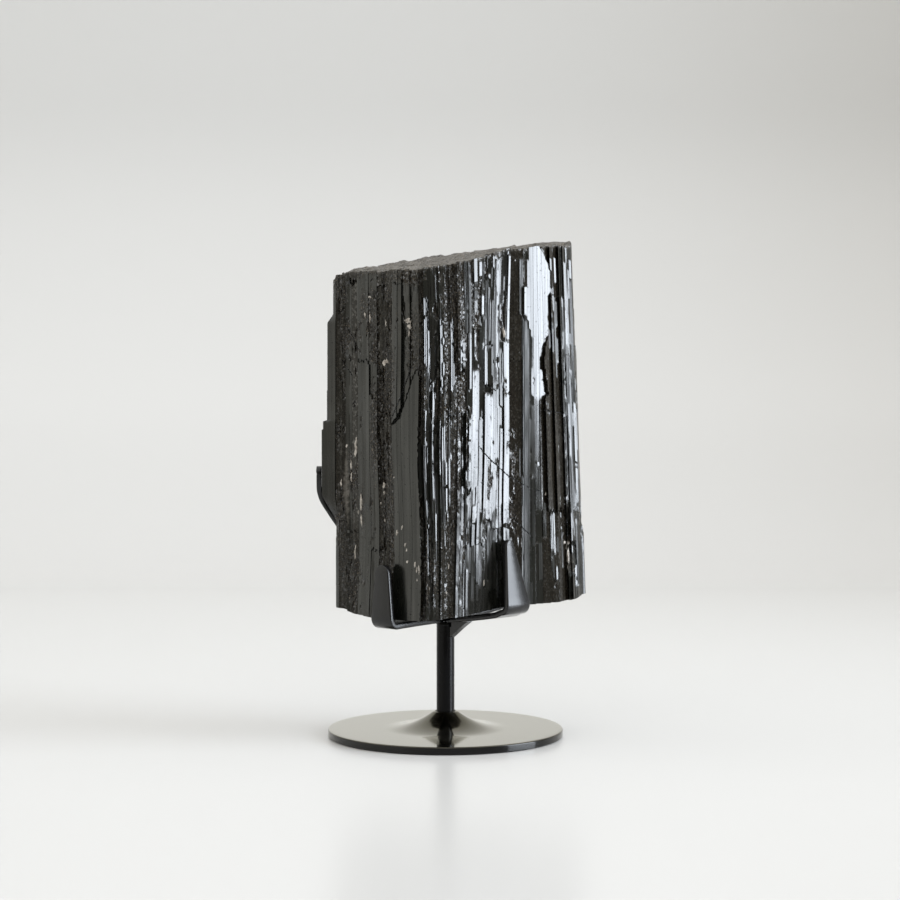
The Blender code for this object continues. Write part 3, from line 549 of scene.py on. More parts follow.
class Nodes:
    """Short names for building the node tree of a material or the world."""

    def __init__(self, owner):
        owner.use_nodes = True
        self.owner = owner
        self.tree = owner.node_tree

    def feed(self, node, inputs):
        """Give inputs, by name or number, a value or another node's output."""
        for key, value in inputs.items():
            socket = node.inputs[key]
            if isinstance(value, bpy.types.NodeSocket):
                self.tree.links.new(value, socket)
            else:
                socket.default_value = (*value, 1) if socket.type == "RGBA" else value

    def surface(self, **inputs):
        """Feed the surface, with underscores for spaces in the names; gives the material."""
        named = {key.replace("_", " "): value for key, value in inputs.items()}
        self.feed(self.tree.nodes["Principled BSDF"], named)
        return self.owner

    def node(self, kind, inputs, **settings):
        made = self.tree.nodes.new("ShaderNode" + kind)
        for key, value in settings.items():
            setattr(made, key, value)
        self.feed(made, inputs)
        return made

    def stretched(self, scale):
        """Object coordinates, stretched by a scale per axis."""
        source = self.node("TexCoord", {}).outputs["Object"]
        return self.node("Mapping", {"Vector": source, "Scale": scale}).outputs["Vector"]

    def noise(self, scale, detail=3, stretch=(1, 1, 1)):
        inputs = {"Scale": scale, "Detail": detail, "Vector": self.stretched(stretch)}
        return self.node("TexNoise", inputs).outputs["Fac"]

    def ramp(self, source, stops):
        made = self.node("ValToRGB", {"Fac": source})
        elements = made.color_ramp.elements
        while len(elements) < len(stops):
            elements.new(1)
        for element, (place, colour) in zip(elements, stops):
            element.position = place
            element.color = (*colour, 1)
        return made.outputs["Color"]

    def span(self, source, low, high, to_low=0, to_high=1):
        """Map a range of a number onto another range and stop at its ends."""
        inputs = {"Value": source, "From Min": low, "From Max": high, "To Min": to_low, "To Max": to_high}
        return self.node("MapRange", inputs).outputs["Result"]

    def math(self, operation, first, second):
        return self.node("Math", {0: first, 1: second}, operation=operation).outputs["Value"]

    def vector(self, operation, inputs, output="Vector"):
        numbered = dict(enumerate(inputs)) if isinstance(inputs, tuple) else inputs
        return self.node("VectorMath", numbered, operation=operation).outputs[output]

    def blend(self, share, first, second):
        """Mix two plain numbers."""
        return self.node("Mix", {0: share, 2: first, 3: second}, data_type="FLOAT").outputs[0]

    def mix(self, share, first, second):
        """Mix two colours."""
        return self.node("Mix", {0: share, 6: first, 7: second}, data_type="RGBA").outputs[2]

    def bump(self, height, distance, strength=1, **below):
        inputs = {"Height": height, "Distance": distance, "Strength": strength, **below}
        return self.node("Bump", inputs).outputs["Normal"]

    def axes(self, source):
        return self.node("SeparateXYZ", {"Vector": source}).outputs

    def channels(self, source):
        return self.node("SeparateColor", {"Color": source}).outputs


def new_material(name):
    return Nodes(bpy.data.materials.new(name))


def crack_share(made):
    """A mask that is 1 on the cracks: distance to each stretch of their lines."""
    source = made.node("TexCoord", {}).outputs["Object"]
    flat = made.vector("MULTIPLY", (source, (1, 0, 1)))
    nearest = None
    for line in CRACKS:
        for start, end in zip(line, line[1:]):
            first = Vector((start[0], 0, start[1])) * MM
            run = Vector((end[0], 0, end[1])) * MM - first
            offset = made.vector("SUBTRACT", (flat, first))
            share = made.vector("DOT_PRODUCT", (offset, run / run.length_squared), "Value")
            near = made.vector("SCALE", {0: run, "Scale": made.span(share, 0, 1)})
            away = made.vector("LENGTH", (made.vector("SUBTRACT", (offset, near)),), "Value")
            nearest = away if nearest is None else made.math("MINIMUM", nearest, away)
    wobble = made.span(made.noise(1100), 0.3, 0.7, -CRACK_WIDTH * MM, CRACK_WIDTH * MM)
    edge = made.span(made.math("ADD", nearest, wobble), CRACK_WIDTH * MM, CRACK_WIDTH * MM * 0.3)
    return made.math("MULTIPLY", edge, made.math("LESS_THAN", made.axes(source)["Y"], 0))


def stone_material():
    """Near-black glassy crystal, rough brown breaks and pale grains, by painted masks."""
    made = new_material("tourmaline_crystal")
    masks = made.node("VertexColor", {}, layer_name="masks").outputs
    painted = made.channels(masks["Color"])
    rough, brown, pale, satin = painted["Red"], painted["Green"], painted["Blue"], masks["Alpha"]
    streaks = made.noise(GRIT_SCALE, 3, (1, 1, 0.02))
    grain = made.noise(GRIT_SCALE)
    crack = crack_share(made)
    crystals = {"Scale": GRIT_SCALE, "Vector": made.stretched((1, 1, 0.6))}
    facet = made.node("TexVoronoi", crystals).outputs["Color"]
    shard = made.channels(facet)

    clean = made.ramp(made.noise(90, 4), CLEAN_TONES)
    earthy = made.ramp(grain, EARTHY_TONES)
    chalky = made.ramp(grain, CHALKY_TONES)
    # Tiny pale specks in the rough zones: partly pale mineral grains, partly painted glints that stand in
    # for sparkle.
    speck_and_glint = made.math("MULTIPLY", made.span(made.noise(1900, 2), 0.63, 0.69), rough)
    colour = made.mix(pale, made.mix(brown, clean, earthy), chalky)
    colour = made.mix(crack, made.mix(speck_and_glint, colour, SPECK_AND_GLINT_COLOUR), CRACK_COLOUR)

    pock = made.math("MULTIPLY", made.span(made.noise(800, 2), 0.66, 0.72), 0.7)
    polish = made.span(streaks, 0.3, 0.7, 0.08, 0.20)
    polish = made.math("ADD", polish, made.math("MULTIPLY", satin, 0.24))
    broken = made.span(shard["Green"], 0, 1, 0.16, 0.50)
    finish = made.blend(rough, made.blend(pock, polish, 0.6), broken)
    finish = made.blend(crack, made.blend(pale, finish, 0.75), 0.9)

    shade = made.span(made.noise(420, 3, (1, 1, 0.03)), 0.32, 0.68, 0.36, 0.60)
    sparkle = made.span(shard["Red"], 0.68, 0.92, 0.13, 0.9)
    shine = made.blend(made.math("MAXIMUM", brown, crack), made.blend(pock, shade, 0.2), sparkle)

    normal = made.node("NewGeometry", {}).outputs["Normal"]
    tilt = made.vector("SUBTRACT", (facet, (0.5, 0.5, 0.5)))
    tilt = made.vector("SCALE", {0: tilt, "Scale": made.span(rough, 0, 1, 0, 1.15)})
    tilted = made.vector("NORMALIZE", (made.vector("ADD", (normal, tilt)),))
    fine = made.bump(streaks, 0.00004, 0.8, Normal=tilted)
    lumps = made.math("MULTIPLY", grain, made.math("MAXIMUM", rough, pale))
    lumpy = made.bump(lumps, 0.0003, 0.7, Normal=fine)
    opened = made.bump(made.math("SUBTRACT", 1, crack), 0.0003, Normal=lumpy)
    return made.surface(Base_Color=colour, Roughness=finish, IOR=STONE_INDEX,
                        Specular_IOR_Level=shine, Normal=opened)


def grain_material():
    """Cream feldspar grains that sit in the stone."""
    made = new_material("feldspar_grain")
    cream = made.ramp(made.noise(700), CREAM_TONES)
    fine = made.noise(2600, 2)
    return made.surface(Base_Color=cream, Roughness=made.span(fine, 0.3, 0.7, 0.35, 0.65),
                        Normal=made.bump(fine, 0.0002, 0.6))


def paint_material(name, peel_scale, peel_height, coat_roughness, coat_index, painted_lit_top=False):
    """Gloss black lacquer on steel, with a faint orange peel and a little dust; with a painted lit top,
    upward faces get a lighter olive metal finish so the top reads brighter than the black sides.
    """
    made = new_material(name)
    cloud = made.noise(30)
    tone = made.ramp(cloud, PAINT_TONES)
    dust = made.span(made.noise(2600, 2), 0.72, 0.78, 0, 0.3)
    colour = made.mix(dust, tone, DUST_COLOUR)
    roughness = made.span(cloud, 0.3, 0.7, 0.22, 0.34)
    if painted_lit_top:
        # Painted lit top: upward faces get a lighter olive metal colour and a warm tint, so the top reads
        # brighter than the black sides.
        upward = made.axes(made.node("NewGeometry", {}).outputs["Normal"])["Z"]
        top = made.span(upward, 0.55, 0.80)
        colour = made.mix(top, colour, PAINTED_LIT_TOP_METAL)
        roughness = made.blend(top, roughness, made.span(upward, 0.84, 0.985, 0.20, 0.09))
        made.surface(Metallic=top, Coat_Tint=PAINTED_LIT_TOP_TINT)
    peeled = made.bump(made.noise(peel_scale, 2), peel_height, 0.5)
    made.surface(Coat_Weight=1, Coat_IOR=coat_index, Coat_Roughness=coat_roughness, Coat_Normal=peeled)
    return made.surface(Base_Color=colour, Roughness=roughness, IOR=PAINT_INDEX, Normal=peeled)


# ------------------------------ camera, light and stage
def make_camera():
    camera = bpy.data.cameras.new("camera")
    camera.sensor_fit = "HORIZONTAL"
    camera.sensor_width = SENSOR_MM
    camera.lens = FOCAL_PIXELS / FRAME_PIXELS * SENSOR_MM
    camera.clip_start = 0.01
    item = add_object("camera", camera)
    item.location = (CAMERA_X * MM, -CAMERA_DISTANCE * MM, CAMERA_HEIGHT * MM)
    item.rotation_euler = (math.pi / 2, 0, 0)
    bpy.context.scene.camera = item


def make_window():
    """A tall soft lamp at the right, like a window."""
    lamp = bpy.data.lights.new("window", "AREA")
    lamp.shape = "RECTANGLE"
    lamp.size = WINDOW_WIDTH
    lamp.size_y = WINDOW_HEIGHT
    lamp.energy = WINDOW_POWER
    lamp.color = WINDOW_COLOUR
    lamp.spread = math.radians(WINDOW_SPREAD)
    item = add_object("window", lamp)
    item.location = outward(WINDOW_AZIMUTH) * WINDOW_DISTANCE + raised(WINDOW_CENTRE)
    aim = raised(WINDOW_CENTRE) - item.location
    item.rotation_euler = aim.to_track_quat("-Z", "Y").to_euler()
    item.visible_camera = False


def make_room():
    """The room's own glow: by azimuth round the walls, and a bright ceiling."""
    world = bpy.data.worlds.new("room")
    bpy.context.scene.world = world
    made = Nodes(world)
    axes = made.axes(made.node("TexCoord", {}).outputs["Generated"])
    turn = made.math("ARCTAN2", axes["X"], made.math("MULTIPLY", axes["Y"], -1))
    stops = [((azimuth + 180) / 360, colour) for azimuth, colour in ROOM_GLOW]
    walls = made.ramp(made.span(turn, -math.pi, math.pi), stops)
    glow = made.mix(made.span(axes["Z"], CEILING_START, CEILING_END), walls, CEILING_GLOW)
    made.feed(made.tree.nodes["Background"], {"Color": glow})
    bpy.context.scene.view_settings.view_transform = "Standard"


def make_stage():
    """A plain pale floor that sweeps up into the wall far behind it."""
    profile = [(SWEEP_FRONT, 0)]
    for share in shares(SWEEP_STEPS):
        angle = math.radians(90 * share)
        y = SWEEP_BACK - SWEEP_BEND * (1 - math.sin(angle))
        profile.append((y, SWEEP_BEND * (1 - math.cos(angle))))
    profile.append((SWEEP_BACK, SWEEP_TOP))
    builder = bmesh.new()
    edges = (-SWEEP_HALF_WIDTH, SWEEP_HALF_WIDTH)
    lines = [[builder.verts.new((x, y, z - SWEEP_DROP)) for x in edges] for y, z in profile]
    for lower, upper in zip(lines, lines[1:]):
        builder.faces.new((lower[0], lower[1], upper[1], upper[0]))
    material = new_material("pale_sweep").surface(Base_Color=SWEEP_COLOUR, Roughness=SWEEP_ROUGHNESS)
    sweep = mesh_object("sweep", builder, material)
    sweep.data.shade_smooth()


# ------------------------------ the stand
def skin(builder, rings):
    """Join rings of points, all of one length, with faces."""
    for lower, upper in zip(rings, rings[1:]):
        count = len(lower)
        for step in range(count):
            following = (step + 1) % count
            builder.faces.new((lower[step], lower[following], upper[following], upper[step]))


def close_ends(builder, rings):
    builder.faces.new(rings[0])
    builder.faces.new(tuple(reversed(rings[-1])))


def turned(name, profile, segments, material, node):
    """Turn a profile of (radius, height) about Z; it starts and ends on the axis."""
    builder = bmesh.new()
    rings = []
    for radius, height in profile[1:-1]:
        ring = []
        for step in range(segments):
            angle = 2 * math.pi * step / segments
            ring.append(builder.verts.new((radius * math.cos(angle), radius * math.sin(angle), height)))
        rings.append(ring)
    skin(builder, rings)
    for (_, height), ring in ((profile[0], rings[0]), (profile[-1], rings[-1])):
        pole = builder.verts.new((0, 0, height))
        for first, second in zip(ring, ring[1:] + ring[:1]):
            builder.faces.new((pole, first, second))
    put(name, builder, material, node, TURNED_SHARP)


def flare(radius):
    """Height of the base's top face: a trumpet that rises to the post."""
    rise = clamp((FLARE_RADIUS - radius) / (FLARE_RADIUS - LIP_RADIUS))
    return BASE_THICKNESS + FLARE_HEIGHT * rise ** FLARE_POWER


def round_corner(radius, height, size, start, end):
    """Points of a round edge, given by its centre and two angles."""
    angles = [math.radians(start + (end - start) * share) for share in shares(ROUND_STEPS)]
    return [(radius + size * math.cos(angle), height + size * math.sin(angle)) for angle in angles]


def make_base(material):
    edge = BASE_EDGE_BEVEL
    profile = [(0, 0), (BASE_RADIUS - BASE_FOOT_BEVEL, 0), (BASE_RADIUS, BASE_FOOT_BEVEL)]
    profile += round_corner(BASE_RADIUS - edge, BASE_THICKNESS - edge, edge, 0, 90)
    profile += [(radius, BASE_THICKNESS) for radius in BASE_FLAT_RINGS]
    for share in shares(FLARE_STEPS):
        radius = FLARE_RADIUS + (LIP_RADIUS - FLARE_RADIUS) * share
        profile.append((radius, flare(radius)))
    lip = flare(LIP_RADIUS)
    profile += round_corner(LIP_RADIUS - LIP_ROUND, lip - LIP_SINK, LIP_ROUND, *LIP_ARC)
    profile += [(SOCKET_RADIUS, lip - LIP_DEPTH), (SOCKET_RADIUS, SOCKET_FLOOR), (0, SOCKET_FLOOR)]
    turned("base_disc_turned", profile, TURNED_SEGMENTS, material, "base_disc")


def make_post(material):
    foot = SOCKET_FLOOR + FIT_GAP
    profile = [(0, foot), (POST_RADIUS, foot)]
    profile += [(POST_RADIUS, height) for height in POST_RINGS]
    for share in shares(POST_FLANGE_STEPS):
        radius = POST_RADIUS + (POST_FLANGE_RADIUS - POST_RADIUS) * share * share
        height = POST_TOP - POST_FLANGE_HEIGHT + (POST_FLANGE_HEIGHT - POST_RIM_HEIGHT) * share
        profile.append((radius, height))
    profile += [(POST_FLANGE_RADIUS - POST_RIM_BEVEL, POST_TOP), (PIN_RADIUS, POST_TOP)]
    profile += [(PIN_RADIUS, POST_TOP + PIN_HEIGHT), (0, POST_TOP + PIN_HEIGHT)]
    turned("post_rod", profile, TURNED_SEGMENTS // 2, material, "post")


def bar_section(centre, side, normal, width):
    """Points of a flat bar's section with rounded edges."""
    edge = min(BAR_EDGE, width * BAR_EDGE_SHARE)
    points = []
    for quarter, (way_side, way_normal) in enumerate(((1, 1), (-1, 1), (-1, -1), (1, -1))):
        for share in shares(BAR_EDGE_STEPS):
            angle = math.pi / 2 * (quarter + share)
            across = way_side * (width / 2 - edge) + edge * math.cos(angle)
            through = way_normal * (BAR_THICKNESS / 2 - edge) + edge * math.sin(angle)
            points.append(centre + side * across + normal * through)
    return points


def bar(name, rows, material, node):
    """Skin a bar through rows of (point of its middle line, facing, width)."""
    builder = bmesh.new()
    rings = []
    for index, (point, facing, width) in enumerate(rows):
        before = rows[max(index - 1, 0)][0]
        after = rows[min(index + 1, len(rows) - 1)][0]
        tangent = (after - before).normalized()
        side = raised(1).cross(outward(facing))
        side = (side - tangent * side.dot(tangent)).normalized()
        normal = side.cross(tangent).normalized()
        rings.append([builder.verts.new(spot) for spot in bar_section(point, side, normal, width)])
    skin(builder, rings)
    close_ends(builder, rings)
    put(name, builder, material, node, BAR_SHARP)


def mitre(arm_width):
    """Radius and width of a bar where its mitred end starts and where it is full."""
    start_width = 2 * (MITRE_START * MITRE_SLOPE - MITRE_GAP)
    return [(MITRE_START, start_width), ((arm_width / 2 + MITRE_GAP) / MITRE_SLOPE, arm_width)]


def arm_climb(radius, reach, rise):
    """How far an arm has climbed at a radius: little by the post, more further out."""
    return rise * (radius / reach) ** ARM_CURVE


def tip_widths(last_width):
    """How far along each step of a bar's round end lies, and its width there."""
    angles = [math.pi / 2 * share * TIP_SWEEP for share in shares(TIP_STEPS)[1:]]
    return [(last_width / 2 * math.sin(angle), last_width * math.cos(angle)) for angle in angles]


def bent_prong(node, material):
    """A bar that runs out from the post, bends up at its reach and ends in a round tip."""
    azimuth, reach, rise, (arm_width, bend_width, tip_width), tip, lean = BENT_PRONGS[node]
    floor = ARM_UNDERSIDE + BAR_THICKNESS / 2
    arm = mitre(arm_width)
    full = arm[-1][0]
    run_in = reach - BAR_BEND - BEND_RUN_IN
    for share in shares(ARM_STEPS)[1:]:
        arm.append((full + (run_in - full) * share, arm_width + (bend_width - arm_width) * share))
    plan = [(radius, floor + arm_climb(radius, reach, rise), width) for radius, width in arm]
    for share in shares(BEND_STEPS):
        angle = math.pi / 2 * share
        radius = reach - BAR_BEND + BAR_BEND * math.sin(angle)
        plan.append((radius, floor + rise + BAR_BEND * (1 - math.cos(angle)), bend_width))
    low = floor + rise + BAR_BEND
    high = tip - tip_width / 2
    for share in shares(UPRIGHT_STEPS)[1:]:
        width = bend_width + (tip_width - bend_width) * share
        plan.append((reach + lean * share, low + (high - low) * share, width))
    plan += [(reach + lean, high + climb, width) for climb, width in tip_widths(tip_width)]
    rows = [(outward(azimuth) * radius + raised(height), azimuth, width) for radius, height, width in plan]
    bar(node + "_bar", rows, material, node)


def eased(rows, steps):
    """Rows between the given ones, on a smooth curve through them."""
    filled = []
    padded = [rows[0], *rows, rows[-1]]
    for four in zip(padded, padded[1:], padded[2:], padded[3:]):
        for t in shares(steps)[:-1]:
            filled.append(tuple(
                0.5 * (2 * b + (c - a) * t + (2 * a - 5 * b + 4 * c - d) * t * t
                       + (3 * b - a - 3 * c + d) * t ** 3)
                for a, b, c, d in zip(*four)
            ))
    return [*filled, rows[-1]]


def make_back_left_prong(material):
    """The bar that runs out under the stone, climbs its back and hooks round its left."""
    first = BACK_LEFT_ROUTE[0]
    x, y, z, facing, last_width = BACK_LEFT_ROUTE[-1]
    floor = ARM_UNDERSIDE + BAR_THICKNESS / 2
    away = outward(first[3])
    rows = [(away * radius + raised(floor), first[3], width) for radius, width in mitre(first[4])]
    leftmost = min(row[0] for row in BACK_LEFT_ROUTE) + CURVE_MARGIN
    for row in eased(BACK_LEFT_ROUTE, CURVE_STEPS):
        rows.append((Vector((max(row[0], leftmost), row[1], row[2])), row[3], row[4]))
    for climb, width in tip_widths(last_width):
        rows.append((Vector((x, y - TIP_LEAN * climb, z + climb)), facing, width))
    bar("back_left_prong_bar", rows, material, "back_left_prong")


def make_gusset(material):
    """A web between the post and the underside of the right arm."""
    azimuth, reach, rise = BENT_PRONGS["front_right_prong"][:3]
    start = GUSSET_LOWER_EDGE[0][0]
    end = GUSSET_LOWER_EDGE[-1][0]
    notch = start + POST_FLANGE_RADIUS - POST_RADIUS + GUSSET_NOTCH
    shoulder = POST_TOP - POST_FLANGE_HEIGHT - GUSSET_NOTCH
    outline = eased(GUSSET_LOWER_EDGE, GUSSET_STEPS)
    for radius in (end, notch):
        outline.append((radius, ARM_UNDERSIDE + arm_climb(radius, reach, rise) - FIT_GAP))
    outline += [(notch, shoulder), (start, shoulder)]
    builder = bmesh.new()
    rings = []
    for way in (-1, 1):
        aside = raised(1).cross(outward(azimuth)) * (GUSSET_THICKNESS / 2) * way
        points = [outward(azimuth) * radius + raised(height) + aside for radius, height in outline]
        rings.append([builder.verts.new(point) for point in points])
    skin(builder, rings)
    close_ends(builder, rings)
    put("arm_gusset_web", builder, material, "arm_gusset", GUSSET_SHARP)


# ------------------------------ the stone
class Rib:
    """One upright crystal face: its place, which way it faces and how proud it is."""

    def __init__(self, start, end, facing, proud, groove, top, finish, ledges=(), turns=()):
        self.start = start
        self.end = end
        self.middle = (start + end) / 2
        self.facing = facing
        self.proud = proud
        self.groove = groove
        self.top = top
        self.finish = FINISHES[finish]
        self.ledges = [(*ledge, LEDGE_SPAN)[:3] for ledge in ledges]
        self.turns = turns

    def facing_at(self, height):
        """Its facing at a height, after each turn above it."""
        facing = self.facing
        for level, turned_to, span in self.turns:
            facing += (turned_to - facing) * smooth((level - height) / span + 0.5)
        return facing


def stepped(ledges, height):
    """How far ledges have moved a face outwards at a height."""
    return sum(change * clamp((level + span / 2 - height) / span) for level, change, span in ledges)


def ragged(place, seed, reach):
    """How far a broken end lies off its level at a place: uneven, like needles."""
    return reach * (wave(place * 0.9, seed) + 0.8 * wave(place * 3.3, seed, 7))


def inside_panel(left, right, x, height):
    """How far inside a large clean face a point lies."""
    if not left[0][0] < height < left[-1][0]:
        return -OUTER_REACH
    edge = 0.35 * wave(height * 0.8, 1) + 0.15 * wave(height * 2.6, 4)
    return min(x - along(left, height), along(right, height) - x) + edge


def panel_at(place, height):
    """The clean face whose edge is nearest to a point on the front, and how near."""
    nearest = None
    depth_in = -OUTER_REACH
    for panel in PANELS:
        inside = inside_panel(panel[3], panel[4], place + fan(place, height), height)
        if inside > depth_in:
            nearest, depth_in = panel, inside
    return nearest, depth_in


def covered(value, share):
    """Whether a noise value is high enough to cover about a share of its field."""
    return value > 0.5 - 1.1 * share


def glint_at(strip, height):
    """Facing, lift and satin of a strip where it shines at a height, or None."""
    seed = strip.seed
    rag = EDGE_RAG * wave(seed, 21, height * 0.04)
    for _, _, upper, lower, facing in strip.edges:
        if lower < height + rag < upper:
            satin = GREY_SATIN if facing < GREY_BELOW else 0
            return facing + EDGE_TURN * wave(seed, height * 0.08), EDGE_LIFT, satin
    cover = 0
    greyed = 0
    for x, z, wide, tall, share, grey in GLINTS:
        fade = clamp(2.2 - 1.6 * math.hypot((strip.middle - x) / wide, (height - z) / tall))
        cover = max(cover, share * fade)
        greyed = max(greyed, grey * fade)
    if greyed > 0:
        if covered(streak(seed, height, (3, 0.022), (9, 0.09)), cover):
            tone = wave(seed, 5, height * 0.06)
            return GLINT_FACING + GLINT_TURN * tone, EDGE_LIFT, clamp(0.2 + 1.2 * tone)
        if covered(streak(seed, height, (23, 0.016), (29, 0.07)), greyed):
            return GREY_FACING + GREY_TURN * wave(seed, 37, height * 0.03), GREY_LIFT, GREY_SATIN
    return None


def fan(x, height):
    """How far the fanned right side has moved out at a height."""
    return FAN_LEAN * (FAN_TOP - height) * smooth((x - FAN_START_X) / FAN_WIDTH)


def sway(x, height):
    """A sideways drift of the upright lines on the middle of the stone."""
    share = smooth((x - SWAY_LEFT) / SWAY_FADE) * smooth((SWAY_RIGHT - x) / SWAY_FADE)
    return share * SWAY * wave(x * 0.035, 11, height * 0.013)


def slope_of(facing, side):
    """How fast a face runs inwards along its side."""
    return math.tan(math.radians(clamp(facing - side.azimuth, -STEEPEST_FACING, STEEPEST_FACING)))


class Cell:
    """A narrow upright face: a slice of a rib with its own small turn and breaks."""

    def __init__(self, side, rib, start, end, rng):
        self.side = side
        self.rib = rib
        self.start = start
        self.end = end
        self.centre = (start + end) / 2
        self.front = side is FRONT
        self.turn = rng.uniform(-rib.finish.turn, rib.finish.turn)
        self.proud = -abs(rng.gauss(0, 0.07 + 0.012 * rib.finish.turn))
        self.seed = rng.uniform(0, 1000)
        self.top = rng.uniform(-0.30, 0.25)

    def ledges_at(self, place):
        """The rib's ledges where they fall at a place, with their uneven ends."""
        rag = self.rib.finish.rag
        return [(level + ragged(place, level, rag), change, span) for level, change, span in self.rib.ledges]

    def flaked(self, place, height):
        """Share of the skin that has broken away at a point, from 0 to 1."""
        spot = Vector((place * 0.15, height * 0.030, 31 if self.front else 77))
        spread = 0.55 - 1.1 * self.rib.finish.flaked
        return smooth((noise.fractal(spot, 0.6, 2.2, 5) - spread) / 0.10)

    def depth(self, place, height, ledges, panel=None, inside=-OUTER_REACH):
        """Distance from the middle of the stone, and how broken the skin is there."""
        rib, side, seed = self.rib, self.side, self.seed
        facing = rib.facing_at(height)
        drift = wave(seed, 3, height * 0.03) + 0.6 * wave(seed, 8, height * 0.11)
        own = facing + self.turn + rib.finish.wander * drift
        depth = along(side.outline, rib.middle) + rib.proud
        depth -= (self.centre - rib.middle) * slope_of(facing, side)
        depth -= (place - self.centre) * slope_of(own, side)
        depth += self.proud * (1 + wave(seed, height * 0.03, 9)) + stepped(ledges, height)
        if inside > -PANEL_FEATHER:
            tilted, middle, lift = panel[:3]
            flat = along(side.outline, middle) + lift
            flat -= (place + fan(place, height) - middle) * slope_of(tilted, side)
            lower = min(depth, flat - PANEL_STEP)
            depth = lower + (flat - lower) * smooth(inside / PANEL_BLEND + 0.5)
            if inside > 0:
                return depth + 0.02 * wave(place * 0.3, height * 0.03, 4), 0
        strength = 0.35 + 0.9 * max(0, 0.3 + wave(place * 0.15, seed, height * 0.02))
        relief = wave(place * 2.2, seed, height * 0.010) + 0.5 * wave(place * 4.9, seed, height * 0.025)
        depth += rib.finish.lines * strength * relief
        broken = self.flaked(place, height)
        if broken > 0:
            spot = Vector((place * 0.75, seed * 0.01, height * 0.30))
            grain = FLAKE_GRAIN * noise.fractal(spot, 0.7, 2.2, 3)
            lump = FLAKE_LUMP * wave(place * 0.28, 5, height * 0.11)
            depth += broken * (grain + lump - FLAKE_DEPTH)
        return depth, broken


def sides_of_edges():
    """Each bright edge as its near and far side, upper and lower end, and facing."""
    return [(x - half, x + half, upper, lower, facing) for x, half, upper, lower, facing in BRIGHT_EDGES]


class Strip:
    """One narrow flat strip of a cell, the width of a single striation."""

    def __init__(self, near, far, seed):
        self.near = near
        self.far = far
        self.middle = (near + far) / 2
        self.seed = seed
        self.edges = [edge for edge in sides_of_edges() if edge[0] < self.middle < edge[1]]


def strips_of(cell, rng):
    """Cut a cell into strips, with a cut at each side of a bright edge."""
    end = cell.end - CELL_GAP
    cuts = [cell.start + CELL_GAP]
    wanted = sorted(side for edge in sides_of_edges() for side in edge[:2]) if cell.front else []
    narrow, wide = FRONT_STRIP if cell.front else OTHER_STRIP
    for side in [*wanted, end]:
        origin = cuts[-1]
        if not origin + THINNEST_STRIP < side <= end or side < end < side + THINNEST_STRIP:
            continue
        parts = max(1, round((side - origin) / rng.uniform(narrow, wide)))
        width = (side - origin) / parts
        cuts += [origin + width * (part + rng.uniform(-0.3, 0.3)) for part in range(1, parts)]
        cuts.append(side)
    return [Strip(near, far, rng.uniform(0, 900)) for near, far in zip(cuts, cuts[1:])]


def make_cells():
    """Each side's cells: ribs cut at random places."""
    rng = random.Random(CELL_SEED)
    sides = []
    for side in SIDES:
        start = side.start
        cells = []
        for row in side.ribs:
            rib = Rib(start, *row)
            start = rib.end
            cuts = [rib.start]
            while cuts[-1] + rib.finish.wide < rib.end:
                cuts.append(cuts[-1] + rng.uniform(rib.finish.narrow, rib.finish.wide))
            cuts = [cut for cut in cuts if cut < rib.end - rib.finish.narrow / 2] + [rib.end]
            cells += [Cell(side, rib, near, far, rng) for near, far in zip(cuts, cuts[1:])]
        sides.append(cells)
    return sides


def left_share(side, place):
    """How much of the left side's swelling a line of points takes part in."""
    if side is LEFT:
        return 1
    return clamp((FRONT_RIBS[0][0] - place) / LEFT_BLEND) if side is FRONT else 0


def settle(x, y, z):
    """Fan the right side out, tuck the lower left in, and stay clear of the prongs."""
    x += fan(x, z) + sway(x, z)
    x += TUCK * smooth((TUCK_START_X - x) / TUCK_WIDTH) * smooth((TUCK_TOP - z) / TUCK_SPAN)
    for azimuth, reach, rise, widths, tip, lean in BENT_PRONGS.values():
        normal = outward(azimuth)
        bend_top = ARM_UNDERSIDE + BAR_THICKNESS + rise + BAR_BEND + BEND_CLEARANCE
        limit = reach - BAR_THICKNESS / 2 - PRONG_CLEARANCE
        limit += min(lean, 0) * clamp((z - bend_top) / (tip - widths[2] / 2 - bend_top))
        limit -= max(0, bend_top - z)
        across = abs(normal.x * y - normal.y * x) - max(widths) / 2 - PRONG_MARGIN
        beyond = normal.x * x + normal.y * y - limit - PRONG_FEATHER * max(0, across)
        if beyond > 0 and z < tip + TIP_CLEARANCE:
            x -= normal.x * beyond * PRONG_PRESS
            y -= normal.y * beyond * PRONG_PRESS
    return Vector((x, y, z))


def top_height(x, y):
    return TOP_LEVEL + TOP_SLOPE_X * x + TOP_SLOPE_Y * y


def row_heights(low, high, ledges):
    """Heights of a column's points, with a pair of rows at each ledge."""
    pitch = (high - low) / (ROWS - 1)
    rows = [low + (high - low) * step / (ROWS - 1) for step in range(ROWS)]
    taken = {0, ROWS - 1}
    for level, _, span in sorted(ledges):
        if span > 2 * pitch or not low + 2 * pitch < level < high - 2 * pitch:
            continue
        guess = int((level - low) / pitch)
        free = [row for row in (guess, guess + 1, guess - 1, guess + 2)
                if 0 < row < ROWS - 2 and not taken & {row, row + 1}]
        if free:
            rows[free[0]] = level - span / 2
            rows[free[0] + 1] = level + span / 2
            taken.update((free[0], free[0] + 1))
    return sorted(rows)


